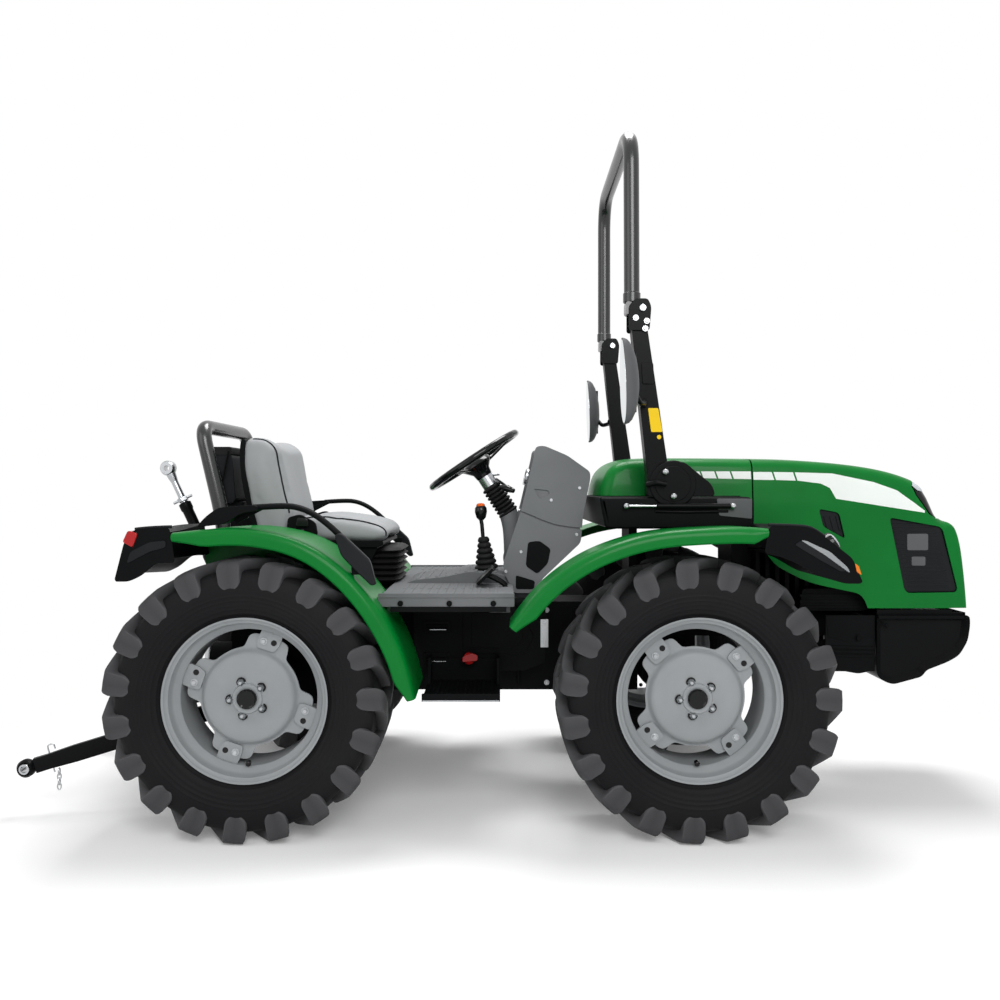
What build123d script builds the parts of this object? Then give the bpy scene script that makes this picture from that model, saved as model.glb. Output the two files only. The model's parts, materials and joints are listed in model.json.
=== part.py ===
from build123d import *
import math
import os

# Compact four-wheel-drive farm tractor with steered front wheels.
# Millimetres, +X forward, +Y left, +Z up, origin on the ground under the middle of the machine.
# Round pieces seen as many flats (tyres, rims, tubes) are built from flat faces, so the part stays
# light; every pin, shaft and bore that another piece turns on is a true cylinder.

# ------------------------------------------------------------------ driving sizes
wheelbase = 1358.0
front_axle_x = 571.0
rear_axle_x = front_axle_x - wheelbase
tyre_od = 849.0
tyre_r = tyre_od / 2
axle_z = tyre_r
tyre_width = 282.0
wheel_y = 460.0  # middle plane of each wheel
kingpin_y = 370.0
body_half = 240.0  # half width of hood and cowl
fender_out = 600.0  # outer edge of every fender
core_half = 95.0  # half width of the slim middle between the steered wheels
running_gap = 0.3  # clearance of shafts and seats
steel = 6.0  # sheet thickness of fenders and panels
deck_z = 715.0  # top of the rear deck
floor_z = 695.0  # top of the steel foot platform
hood_split_x = 829.0
band_x = (300.0, 781.0)  # dark band under the cowl
hood_floor_z = 656.0
bumper_top_z = 632.0
band_bottom_z = 930.0
band_top_z = 1033.0
band_half = 400.0
across = (0, 1, 0)

os.makedirs("parts", exist_ok=True)


def save(piece, label):
    """Label one finished piece and write it to its own file."""
    piece.label = label
    export_step(piece, f"parts/{label}.step")


def prism(points, y_from, y_to, rounding=0.0):
    """Plate or block with a side outline in X and Z, from one Y to another, its corners cut back."""
    with BuildPart() as piece:
        with BuildSketch(Plane.XZ.offset(-y_from)) as outline:
            with BuildLine():
                Polyline(*points, close=True)
            make_face()
            if rounding:
                chamfer(outline.vertices(), rounding)
        extrude(amount=-(y_to - y_from))
    return piece.part


def flat_sided(faces):
    """Solid closed by flat faces, each given by its corners in order."""
    return Solid(Shell([Face(Wire.make_polygon(corners)) for corners in faces]))


def strips_between(rings, closed):
    """Four-cornered faces that join each ring of corners to the next."""
    pairs = list(zip(rings, rings[1:]))
    if closed:
        pairs.append((rings[-1], rings[0]))
    faces = [] if closed else [rings[0], rings[-1]]
    for near, far in pairs:
        for k in range(len(near)):
            after = (k + 1) % len(near)
            faces.append([near[k], near[after], far[after], far[k]])
    return faces


def many_sided(rows, origin, axis, sides, ring=False):
    """Turned form with flat sides: rows of (distance along the axis, radius), a ring if its rows close."""
    frame = Plane(origin=origin, z_dir=axis)
    angles = [2 * math.pi * k / sides for k in range(sides)]
    rings = [
        [frame.from_local_coords(Vector(r * math.cos(a), r * math.sin(a), d)) for a in angles] for d, r in rows
    ]
    return flat_sided(strips_between(rings, ring))


def pipe(points, radius, sides=8, bend=0.0, steps=3):
    """Tube of flat sides along straight legs, each corner eased by short mitred lengths."""
    corners = [Vector(*p) for p in points]
    route = [corners[0]]
    for before, corner, after in zip(corners, corners[1:], corners[2:]):
        start = corner + (before - corner).normalized() * bend
        end = corner + (after - corner).normalized() * bend
        for i in range(steps + 1):
            t = i / steps
            route.append(start * (1 - t) ** 2 + corner * (2 * t * (1 - t)) + end * t**2)
    route.append(corners[-1])
    legs = [(b - a).normalized() for a, b in zip(route, route[1:])]
    side = Plane(origin=(0, 0, 0), z_dir=legs[0]).x_dir
    up = legs[0].cross(side)
    spokes = [math.radians(360 / sides * (k + 0.5)) for k in range(sides)]
    ring = [route[0] + side * (radius * math.cos(a)) + up * (radius * math.sin(a)) for a in spokes]
    rings = [ring]
    for i, leg in enumerate(legs):
        following = legs[i + 1] if i + 1 < len(legs) else leg
        mitre = (leg + following).normalized()
        stop = route[i + 1]
        ring = [p + leg * ((stop - p).dot(mitre) / leg.dot(mitre)) for p in ring]
        rings.append(ring)
    return flat_sided(strips_between(rings, False))


def round_bar(start, end, radius):
    """Straight round bar between two points."""
    axis = Vector(*end) - Vector(*start)
    with BuildPart() as piece:
        with BuildSketch(Plane(origin=start, z_dir=axis)):
            Circle(radius)
        extrude(amount=axis.length)
    return piece.part


def cross_bar(x, z, radius, y_from, y_to):
    """Round bar or bore along Y."""
    low, high = sorted((y_from, y_to))
    return round_bar((x, low, z), (x, high, z), radius)


def slab(x_from, x_to, y_from, y_to, z_from, z_to):
    """Plain block between limits."""
    with BuildPart() as piece:
        with Locations(((x_from + x_to) / 2, (y_from + y_to) / 2, (z_from + z_to) / 2)):
            Box(abs(x_to - x_from), abs(y_to - y_from), abs(z_to - z_from))
    return piece.part


def joined(*pieces):
    """One solid from pieces that meet, or several that do not touch."""
    with BuildPart() as piece:
        for item in pieces:
            add(item)
    return piece.part


def less(piece, *cutters):
    """A piece with others taken out of it."""
    with BuildPart() as result:
        add(piece)
        for item in cutters:
            add(item, mode=Mode.SUBTRACT)
    return result.part


def common(piece, *others):
    """What pieces share."""
    with BuildPart() as result:
        add(piece)
        for item in others:
            add(item, mode=Mode.INTERSECT)
    return result.part


def both_sides(piece):
    """The piece and its mirror image across the middle plane."""
    with BuildPart() as pair:
        add(piece)
        mirror(about=Plane.XZ)
    return pair.part


# ------------------------------------------------------------------ wheels
rim_seat_r = 231.0
rim_flange_r = 249.0
rim_wall = 8.0
rim_half = 115.0
rim_sides = 24
disc_out = 55.0  # outer face of the wheel disc, from the wheel's middle plane
disc_thick = 8.0
dome_r = 150.0
dome_rise = 16.0  # how far the dome's middle stands out from its edge
lobe_half = 68.0
lobe_reach = 190.0
bracket_half = 36.0
hub_r = 58.0
hub_length = 68.0
spindle_r = 20.0
lug_count = 19  # each side
lug_top = 30.0  # height of a lug over the carcass
lug_lead = 75.0  # how far a lug's inner end runs ahead
lug_inner_width = 33.0
lug_outer_width = 66.0
pad_drop = 82.0  # how far a lug runs down the sidewall
tread_half = 112.0
sidewall_r = 330.0
side_half = tyre_width / 2 - 2  # half width at the sidewall's widest ring
carcass_sides = lug_count
carcass_r = tyre_r - lug_top
bead_half = rim_half - 13


def make_tyre():
    """Tyre about the Y axis, outer side at -Y, turning so that +X at the top is forward."""
    half = tyre_width / 2
    seat_r = (rim_seat_r + running_gap) / math.cos(math.pi / carcass_sides)
    top_z = math.sqrt(tyre_r**2 - lug_lead**2)
    carcass_rows = (
        # distance from the middle plane, radius
        (-tread_half, carcass_r),
        (tread_half, carcass_r),
        (side_half, sidewall_r),
        (bead_half, seat_r),
        (-bead_half, seat_r),
        (-side_half, sidewall_r),
    )
    carcass = many_sided(carcass_rows, (0, 0, 0), across, carcass_sides, ring=True)
    buried = carcass_r - 14
    with BuildPart() as lug:
        with BuildSketch(Plane.XY.offset(carcass_r - pad_drop)):
            with BuildLine():
                Polyline(
                    (lug_lead, -8),
                    (lug_lead - lug_inner_width, -8),
                    (-lug_lead, -half),
                    (-lug_lead + lug_outer_width, -half),
                    close=True,
                )
            make_face()
        extrude(amount=pad_drop + lug_top)
        with BuildSketch(Plane.YZ):
            with BuildLine():
                Polyline(
                    (-8, buried),
                    (-8, top_z),
                    (-tread_half, top_z),
                    (-half, top_z - 28),
                    (-half, top_z - pad_drop),
                    (-tread_half + 16, buried),
                    close=True,
                )
            make_face()
        extrude(amount=lug_lead, both=True, mode=Mode.INTERSECT)
    pitch = 360 / lug_count
    far_lug = lug.part.mirror(Plane.XZ)
    bars = [lug.part.rotate(Axis.Y, pitch * i) for i in range(lug_count)]
    bars += [far_lug.rotate(Axis.Y, pitch * (i + 0.5)) for i in range(lug_count)]
    return carcass.fuse(*bars)


def make_wheel(lobe_turn):
    """Rim with its domed, four-lobed disc and hub about the Y axis, outer side at -Y."""
    bore = rim_seat_r - rim_wall
    lip = rim_half - 10
    rim_rows = (
        # distance from the middle plane, radius
        (-rim_half, rim_flange_r),
        (-lip, rim_seat_r),
        (lip, rim_seat_r),
        (rim_half, rim_flange_r),
        (rim_half, rim_flange_r - 6),
        (lip - 2, bore),
        (-lip + 2, bore),
        (-rim_half, rim_flange_r - 6),
    )
    rim = many_sided(rim_rows, (0, 0, 0), across, rim_sides, ring=True)
    edge_y = -disc_out + disc_thick
    dome_rows = ((edge_y, dome_r), (edge_y - disc_thick, dome_r), (edge_y - dome_rise, hub_r + 30))
    dome = many_sided(dome_rows, (0, 0, 0), across, rim_sides)
    with BuildPart() as lobes:
        with BuildSketch(Plane.XZ.offset(-edge_y)):
            with PolarLocations(0, 4, start_angle=lobe_turn):
                with BuildLine():
                    Polyline(
                        (dome_r - 60, -lobe_half - 24),
                        (lobe_reach - 8, -lobe_half + 14),
                        (lobe_reach, -bracket_half),
                        (bore + 0.5, -bracket_half),
                        (bore + 0.5, bracket_half),
                        (lobe_reach, bracket_half),
                        (lobe_reach - 26, lobe_half + 12),
                        (dome_r - 60, lobe_half + 24),
                        close=True,
                    )
                make_face()
        extrude(amount=disc_thick)
    drum = many_sided(((edge_y - 1, hub_r), (edge_y - 1 + hub_length, hub_r)), (0, 0, 0), across, 12)
    shaft_bore = cross_bar(0, 0, spindle_r + running_gap, -rim_half, rim_half)
    return less(joined(rim, dome, lobes.part, drum), shaft_bore)


tyre_right = make_tyre()
tyre_left = tyre_right.mirror(Plane.XZ)
wheel_plan = (
    # name, axle x, side, turn of the four lobes
    ("front", front_axle_x, -1, 40),
    ("front", front_axle_x, 1, 40),
    ("rear", rear_axle_x, -1, 71),
    ("rear", rear_axle_x, 1, 71),
)
for end, axle_x, side, lobe_turn in wheel_plan:
    hand = "left" if side > 0 else "right"
    place = Location((axle_x, side * wheel_y, axle_z))
    rim = make_wheel(lobe_turn)
    if side > 0:
        rim = rim.mirror(Plane.XZ)
    save((tyre_left if side > 0 else tyre_right).moved(place), f"tyre_{end}_{hand}")
    save(rim.moved(place), f"rim_{end}_{hand}")
hub_inner_y = wheel_y + disc_out - disc_thick + 1 - hub_length  # where the hub meets its axle
spindle_end_y = wheel_y + disc_out - disc_thick

# ------------------------------------------------------------------ chassis
housing_front_x = -420.0
housing_rear_x = -960.0
core_bottom_z = 350.0
core_top_z = 660.0
axle_tube_r = 62.0
brake_r = 95.0
housing_outline = (
    (housing_rear_x, 640),
    (housing_rear_x, 400),
    (housing_rear_x + 60, 330),
    (-640, 305),
    (housing_front_x, 340),
    (housing_front_x, deck_z - 15),
    (housing_rear_x + 30, deck_z - 15),
)
rear_housing = prism(housing_outline, -125, 125)
axle_tube = many_sided(((-377, axle_tube_r), (377, axle_tube_r)), (rear_axle_x, 0, axle_z), across, 12)
brakes = [
    many_sided(((s * 377, brake_r), (s * (hub_inner_y - 0.5), brake_r)), (rear_axle_x, 0, axle_z), across, 12)
    for s in (-1, 1)
]
half_shafts = cross_bar(rear_axle_x, axle_z, spindle_r, -spindle_end_y, spindle_end_y)
pto_r = 17.46
pto_z = 440.0
pto_stub = round_bar((housing_rear_x - 76, 0, pto_z), (housing_rear_x, 0, pto_z), pto_r)
save(joined(rear_housing, axle_tube, *brakes, half_shafts, pto_stub), "rear_housing")

frame_rear_x = 460.0
front_frame_end = 1236.0
mount_x = (430.0, 510.0)
core = joined(
    slab(housing_front_x, frame_rear_x, -core_half, core_half, core_bottom_z, core_top_z),
    slab(mount_x[0], frame_rear_x - 1, -core_half + 5, core_half - 5, core_top_z, band_top_z - steel),
    slab(*mount_x, -band_half + steel, band_half - steel, 950, band_top_z - steel),
)
save(core, "transmission")
skirt_out = body_half - 0.5
skirt = joined(
    slab(front_frame_end - 166, front_frame_end - 1, -skirt_out, -skirt_out + 8, 444, bumper_top_z),
    slab(front_frame_end - 46, front_frame_end - 36, -skirt_out + 8, -core_half, 560, bumper_top_z),
)
frame_bars = slab(frame_rear_x, front_frame_end, -core_half, core_half, 540, bumper_top_z)
save(joined(frame_bars, skirt, skirt.mirror(Plane.XZ)), "front_frame")
engine_x = (790.0, front_frame_end + 24)
engine = slab(*engine_x, -core_half, core_half, bumper_top_z, 1050)
save(engine, "engine_block")
radiator_x = (front_frame_end + 54, front_frame_end + 114)
save(slab(*radiator_x, -170, 170, bumper_top_z, 1030), "radiator")

# front axle: middle casing under the frame, tubes to the kingpin bosses, steering cylinder ahead
boss_r = 36.0
boss_half = 60.0
kingpin_r = 15.0
case_half = 93.0
case_drop = 94.0
axle_case = prism(
    (
        (front_axle_x - case_half, 540),
        (front_axle_x - case_half, axle_z - 44),
        (front_axle_x - case_half + 52, axle_z - case_drop),
        (front_axle_x + case_half - 52, axle_z - case_drop),
        (front_axle_x + case_half, axle_z - 44),
        (front_axle_x + case_half, 540),
    ),
    -core_half + 5,
    core_half - 5,
)
axle_bar = many_sided(((-kingpin_y, 42), (kingpin_y, 42)), (front_axle_x, 0, axle_z), across, 12)
cylinder = many_sided(((-150, 24), (150, 24)), (front_axle_x + case_half, 0, axle_z), across, 10)
bosses = []
pin_holes = []
for s in (-1, 1):
    centre = (front_axle_x, s * kingpin_y, axle_z - boss_half)
    bosses.append(many_sided(((0, boss_r), (2 * boss_half, boss_r)), centre, (0, 0, 1), 12))
    pin_holes.append(
        round_bar(
            (front_axle_x, s * kingpin_y, axle_z - 2 * boss_half),
            (front_axle_x, s * kingpin_y, axle_z + 2 * boss_half),
            kingpin_r + running_gap,
        )
    )
save(less(joined(axle_case, axle_bar, cylinder, *bosses), *pin_holes), "front_axle")

# knuckles: two ears over the boss, a web outside it and the wheel's spindle
ear = 22.0
for side, hand in ((-1, "right"), (1, "left")):
    y = side * kingpin_y
    y_ear = y - side * boss_r
    web_in = side * (kingpin_y + boss_r + 6)
    web_out = side * (hub_inner_y - 0.5)
    low = axle_z - boss_half - running_gap - ear
    high = axle_z + boss_half + running_gap
    x_low = front_axle_x - boss_r
    x_high = front_axle_x + boss_r
    arms = [slab(x_low, x_high, y_ear, web_out, z, z + ear) for z in (low, high)]
    web = slab(x_low, x_high, web_in, web_out, low, high + ear)
    pin = round_bar((front_axle_x, y, low), (front_axle_x, y, high + ear), kingpin_r)
    spindle = cross_bar(front_axle_x, axle_z, spindle_r, web_out, side * spindle_end_y)
    save(joined(*arms, web, pin, spindle), f"knuckle_{hand}")

# ------------------------------------------------------------------ front bumper and hood hinge
bumper_half = 250.0
bumper_front_x = front_frame_end + 320
bumper = prism(
    (
        (front_frame_end, bumper_top_z),
        (bumper_front_x, bumper_top_z),
        (bumper_front_x - 8, 554),
        (bumper_front_x - 38, 505),
        (bumper_front_x - 154, 453),
        (bumper_front_x - 172, 427),
        (bumper_front_x - 265, 400),
        (front_frame_end, 430),
    ),
    -bumper_half,
    bumper_half,
)
recess_x = (bumper_front_x - 240, bumper_front_x - 150)
recesses = [slab(*recess_x, s * (bumper_half - 14), s * (bumper_half + 1), 470, 560) for s in (-1, 1)]
hinge_y = 120.0
hinge_pin_r = 5.0
hood_pin_x = bumper_front_x - 16
hood_pin_z = hood_floor_z + 10
ear_outline = (
    (hood_pin_x - 24, bumper_top_z),
    (hood_pin_x - 7, bumper_top_z),
    (hood_pin_x - 7, hood_pin_z - 8),
    (hood_pin_x + 4, hood_pin_z - 4),
    (hood_pin_x + 4, hood_pin_z + 7),
    (hood_pin_x - 8, hood_pin_z + 9),
    (hood_pin_x - 24, hood_pin_z - 6),
)
hinge_ears = [prism(ear_outline, s * hinge_y - 6, s * hinge_y + 6) for s in (-1, 1)]
hinge_pins = [cross_bar(hood_pin_x, hood_pin_z, hinge_pin_r, s * hinge_y, s * (hinge_y + 20)) for s in (-1, 1)]
save(joined(less(bumper, *recesses), *hinge_ears, *hinge_pins), "front_bumper")

# ------------------------------------------------------------------ hood
hood_wall = 5.0
hood_top_z = 1162.0
hood_nose_x = bumper_front_x
hood_edge_r = 45.0
hood_corners = (
    # behind the nose, height: top line and brow
    (496, 1162),
    (290, 1128),
    (173, 1082),
    (110, 1026),
    (66, 944),
)


def hood_form(inset, low_z, back_x):
    """Hood body as a solid, its outline moved in by the inset."""
    half = body_half - inset
    nose_x = hood_nose_x - inset
    corners = [(nose_x - behind, z - inset) for behind, z in hood_corners]
    brow_behind, brow_z = hood_corners[-1]
    foot_x = nose_x - brow_behind * (low_z - hood_floor_z) / (brow_z - hood_floor_z)
    with BuildPart() as form:
        add(prism(((back_x, low_z), (back_x, hood_top_z - inset), *corners, (foot_x, low_z)), -half, half))
        side_edges = [
            e for e in form.edges()
            if abs(abs(e.center().Y) - half) < 0.1 and e.center().Z > low_z + 1 and e.center().X > back_x + 1
        ]
        if inset:
            chamfer(side_edges, hood_edge_r * 0.62)
        else:
            fillet(side_edges, hood_edge_r)
    return form.part


lamp_outline = (
    (hood_nose_x - 184, 1100),
    (hood_nose_x - 60, 1100),
    (hood_nose_x - 20, 962),
    (hood_nose_x - 127, 973),
)
grille_outline = (
    (hood_nose_x - 268, 956),
    (hood_nose_x - 104, 930),
    (hood_nose_x - 58, 712),
    (hood_nose_x - 216, 706),
)
vent_outline = (
    (hood_nose_x - 512, 986),
    (hood_nose_x - 438, 980),
    (hood_nose_x - 418, 885),
    (hood_nose_x - 494, 925),
)
arch_outline = (
    (hood_split_x - 85, 500),
    (hood_split_x - 85, 930),
    (hood_split_x + 1, 930),
    (hood_split_x + 36, 834),
    (hood_split_x + 176, 737),
    (hood_split_x + 365, 700),
    (hood_split_x + 393, 600),
    (hood_split_x + 393, 500),
)
shell = less(hood_form(0, hood_floor_z, hood_split_x), hood_form(hood_wall, 500, 600))
lamp_y = 105.0
lamp_box = both_sides(prism(lamp_outline, lamp_y, body_half + 10))
grille_box = both_sides(prism(grille_outline, body_half - 12, body_half + 10, 24))
vent_box = both_sides(prism(vent_outline, body_half - 12, body_half + 10, 10))
arch = prism(arch_outline, -body_half - 20, body_half + 20)
nose_slots = [
    slab(hood_nose_x - 140, hood_nose_x + 20, -150, 150, z, z + 16) for z in (712, 745, 778, 811, 844, 877)
]
hood_ears = []
for s in (-1, 1):
    y = s * (hinge_y + 12)
    hood_ears.append(slab(hood_pin_x - 12, hood_nose_x - 3, y - 4, y + 4, hood_pin_z - 9, hood_pin_z + 14))
holes = [
    cross_bar(hood_pin_x, hood_pin_z, hinge_pin_r + running_gap, s * hinge_y - 40, s * hinge_y + 40) for s in (-1, 1)
]
hood_ears = common(joined(*hood_ears), hood_form(2, 600, hood_split_x))
hood = less(joined(less(shell, arch, lamp_box, grille_box, vent_box, *nose_slots), hood_ears), *holes)
save(hood, "hood")
save(common(shell, lamp_box), "headlamps")

# side grilles: a rounded panel with long blind grooves, and a small vent behind it
panel_y = (body_half - 9, body_half - 2)
panel = prism(grille_outline, *panel_y, 24)
slots = []
for z in (735, 775, 815, 855, 895):
    slot_front = hood_nose_x - 104 + (930 - z) * (46 / 218) - 22
    slot_back = hood_nose_x - 268 + (956 - z) * (52 / 250) + 22
    slots.append(slab(slot_back, slot_front, body_half - 6, body_half + 5, z, z + 18))
vent = prism(vent_outline, *panel_y, 10)
vent_slots = [slab(hood_nose_x - 486, hood_nose_x - 450, body_half - 6, 250, z, z + 10) for z in (934, 954)]
save(both_sides(joined(less(panel, *slots), less(vent, *vent_slots))), "hood_grilles")

# ------------------------------------------------------------------ cowl and the band under it
cowl_front_x = hood_split_x - 6
cowl_rows = (
    # X and Z of the rear and top line
    (306, band_top_z),
    (318, 1081),
    (345, 1130),
    (378, 1153),
    (446, 1163),
    (557, 1167),
)
cowl_outline = (*cowl_rows, (cowl_front_x, 1162), (cowl_front_x, 940), (band_x[1] + 1, 940), (band_x[1] + 1, band_top_z))
cowl_inside = (
    *((x + 6, z - 6) for x, z in cowl_rows),
    (cowl_front_x + 1, 1156),
    (cowl_front_x + 1, 930),
    (band_x[1] + 7, 930),
    (band_x[1] + 7, band_top_z - 6),
)
with BuildPart() as cowl:
    add(prism(cowl_outline, -body_half, body_half))
    top_edges = [
        e for e in cowl.edges() if abs(abs(e.center().Y) - body_half) < 0.1 and e.center().Z > 1140 and e.length > 120
    ]
    fillet(top_edges, 40)
    add(prism(cowl_inside, -body_half + 45, body_half - 45), mode=Mode.SUBTRACT)
save(less(cowl.part, core), "cowl")
band = less(
    slab(*band_x, -band_half, band_half, band_bottom_z, band_top_z),
    slab(
        band_x[0] + steel,
        band_x[1] - steel,
        -band_half + steel,
        band_half - steel,
        band_bottom_z - 1,
        band_top_z - steel,
    ),
)
save(band, "cowl_band")

# ------------------------------------------------------------------ fenders
front_lip = 24.0
rear_lip = 28.0
front_fender_rows = (
    # angle round the axle from straight ahead, gap over the tyre
    (157.3, 182.6),
    (149.0, 169.0),
    (140.9, 152.9),
    (124.2, 125.1),
    (106.6, 103.1),
    (87.9, 94.4),
    (68.7, 127.8),
)
rear_fender_rows = (
    (112.8, 120.5),
    (100.2, 100.3),
    (87.2, 93.5),
    (70.4, 88.7),
    (54.6, 76.5),
    (33.7, 65.9),
    (19.3, 70.5),
    (10.0, 78.2),
    (1.1, 87.5),
)


def over_wheel(axle_x, rows, drop=0.0):
    """Points in X and Z round an axle, given by their angle and their gap over the tyre."""
    points = []
    for angle, gap in rows:
        a = math.radians(angle)
        r = tyre_r + gap - drop
        points.append((axle_x + r * math.cos(a), axle_z + r * math.sin(a)))
    return points


def curved_sheet(points, thickness, y_from, y_to):
    """Sheet of even thickness under a chain of arcs, each through three of the points."""
    with BuildPart() as piece:
        with BuildSketch(Plane.XZ.offset(-y_from)):
            with BuildLine():
                for i in range(0, len(points) - 2, 2):
                    ThreePointArc(*points[i:i + 3])
                offset(amount=thickness, side=Side.RIGHT, closed=True)
            make_face()
        extrude(amount=-(y_to - y_from))
    return piece.part


def fender(points, y_in, y_out, lip):
    """Curved sheet with a lip turned down along its outer edge."""
    top = curved_sheet(points, steel, y_in, y_out)
    edge = curved_sheet(points, lip, y_out - steel, y_out)
    return joined(top, edge)


rear_wall_y = 285.0
front_points = over_wheel(front_axle_x, front_fender_rows)
rear_points = over_wheel(rear_axle_x, rear_fender_rows)
save(both_sides(fender(front_points, band_half, fender_out, front_lip)), "front_fenders")
rear_fender = fender(rear_points, rear_wall_y, fender_out, rear_lip)
wall_top = over_wheel(rear_axle_x, rear_fender_rows[:7], steel / 2)
rear_wall = prism(
    ((rear_points[0][0] - 2, 640), *wall_top, (rear_axle_x + 370, 640)), rear_wall_y - steel, rear_wall_y + 0.01
)
rear_fender = joined(rear_fender, rear_wall)
save(both_sides(rear_fender), "rear_fenders")
rear_end_x, rear_end_z = rear_points[0]
front_end_x, front_end_z = front_points[-1]
rear_tail = prism(
    (
        (rear_end_x - running_gap, rear_end_z + 3),
        (rear_end_x - 59, rear_end_z + 12),
        (rear_end_x - 115, rear_end_z - 20),
        (rear_end_x - 157, rear_end_z - 139),
        (rear_end_x - 122, rear_end_z - 135),
        (rear_end_x - 52, rear_end_z - 77),
        (rear_end_x - running_gap, rear_end_z - 59),
    ),
    rear_wall_y + 10,
    fender_out - 5,
)
front_tail = prism(
    (
        (front_end_x + running_gap, front_end_z - 1),
        (front_end_x + 30, front_end_z + 6),
        (front_end_x + 171, front_end_z - 18),
        (front_end_x + 269, front_end_z - 159),
        (front_end_x + 238, front_end_z - 153),
        (front_end_x + 133, front_end_z - 81),
        (front_end_x + running_gap, front_end_z - 59),
    ),
    band_half + 5,
    fender_out - 5,
)
lamp_tilt = Vector(0.82, 0, 0.57)
headlamp_at = Vector(front_end_x + 218, 500, front_end_z - 78)
front_lamp = many_sided(((-20, 27), (14, 27)), tuple(headlamp_at), tuple(lamp_tilt), 10)
rear_lamp = slab(rear_end_x - 146, rear_end_x - 118, 470, 572, rear_end_z - 92, rear_end_z - 48)
front_tail = less(front_tail, front_lamp)
rear_tail = less(rear_tail, rear_lamp)
save(both_sides(joined(rear_tail, front_tail)), "fender_tails")
save(both_sides(joined(front_lamp, rear_lamp)), "fender_lamps")

# ------------------------------------------------------------------ foot platform and controls
platform_half = 500.0
platform_x = (rear_axle_x + tyre_r + 2.5, -5.0)
arm_slot_y = (132.0, 168.0)
deck_half = rear_wall_y - steel
deck = slab(housing_rear_x, housing_front_x, -deck_half, deck_half, deck_z - 15, deck_z)
arm_slots = [
    slab(housing_rear_x - 1, housing_rear_x + 40, s * arm_slot_y[0], s * arm_slot_y[1], deck_z - 20, deck_z + 5)
    for s in (-1, 1)
]
platform = joined(
    less(deck, *arm_slots),
    slab(*platform_x, -platform_half, platform_half, floor_z - 15, floor_z),
    slab(housing_front_x, 110, -rear_wall_y + 10, rear_wall_y - 10, floor_z - 15, floor_z),
    slab(housing_front_x, housing_front_x + 6, -rear_wall_y + 10, rear_wall_y - 10, floor_z - 15, deck_z),
)
save(platform, "foot_platform")
mat_top_z = 731.0
mat_front_x = 20.0
floor_mat = joined(
    slab(platform_x[0] + 5, platform_x[1] - 3, -platform_half + 3, platform_half - 3, floor_z, mat_top_z),
    prism(
        (
            (-400, floor_z),
            (-330, mat_top_z + 10),
            (-130, mat_top_z + 40),
            (-40, mat_top_z + 34),
            (mat_front_x, mat_top_z + 14),
            (mat_front_x, floor_z),
        ),
        -150,
        150,
    ),
)
save(floor_mat, "floor_mat")
belly_y = 222.0
step_z = 404.0
step_x = (-265.0, -24.0)
belly = joined(
    slab(-317, 130, belly_y - 8, belly_y, 443, floor_z - 15),
    slab(*step_x, belly_y - 1, platform_half, step_z, step_z + 8),
    slab(*step_x, belly_y - 1, belly_y + 8, step_z, step_z + 82),
    slab(*step_x, platform_half - 6, platform_half, step_z, step_z + 25),
)
louvres = [slab(x, x + 90, belly_y - 20, belly_y + 20, 560, 590) for x in (-250, -120)]
save(both_sides(less(belly, *louvres)), "belly_panels")

wheel_centre = Vector(-119, 0, 1161)
tilt = math.radians(33.4)
column_axis = Vector(math.sin(tilt), 0, -math.cos(tilt))
wheel_across = Vector(math.cos(tilt), 0, math.sin(tilt))
hub_at = wheel_centre + column_axis * 45
column_top = hub_at + column_axis * 22
shaft_r = 10.0
console_half = 165.0
console = prism(
    (
        (107, 1198),
        (129, 1203),
        (282, 1121),
        (262, 917),
        (190, mat_top_z),
        (100, floor_z),
        (mat_front_x + 0.5, floor_z),
        (mat_front_x + 0.5, mat_top_z + 44),
        (-30, mat_top_z + 44),
        (-35, mat_top_z + 49),
        (52, 977),
    ),
    -console_half,
    console_half,
)
recess = prism(((140, 1160), (250, 1100), (235, 960), (140, 960)), console_half - 6, console_half + 5)
console = less(console, both_sides(recess))
column = many_sided(((0, 24), (250, 24)), tuple(column_top), tuple(column_axis), 12)
shaft_hole = round_bar(tuple(hub_at), tuple(hub_at + column_axis * 64), shaft_r + running_gap)
save(less(joined(console, column), shaft_hole), "dash_console")
grip_r = 13.0
grip_middle_r = 179.0
grip_rows = []
for k in range(6):
    a = math.radians(60 * k)
    grip_rows.append((grip_r * math.sin(a), grip_middle_r + grip_r * math.cos(a)))
grip = many_sided(grip_rows, tuple(wheel_centre), tuple(column_axis), 28, ring=True)
hub = many_sided(((0, 32), (21.7, 32)), tuple(hub_at), tuple(column_axis), 12)
shaft = round_bar(tuple(hub_at + column_axis), tuple(hub_at + column_axis * 60), shaft_r)
spokes = []
for angle in (90, 210, 330):
    a = math.radians(angle)
    out = Vector(0, math.cos(a), 0) + wheel_across * math.sin(a)
    spokes.append(pipe((tuple(hub_at + column_axis * 10), tuple(wheel_centre + out * grip_middle_r)), 9, 6))
save(joined(grip, hub, shaft, *spokes), "steering_wheel")
lever_rows = ((0, 32), (110, 16), (150, 8), (180, 8), (195, 20), (225, 20))
lever = many_sided(lever_rows, (-72, -60, mat_top_z + 34), (-0.08, 0, 1), 10)
save(less(lever, floor_mat), "gear_lever")

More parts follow.
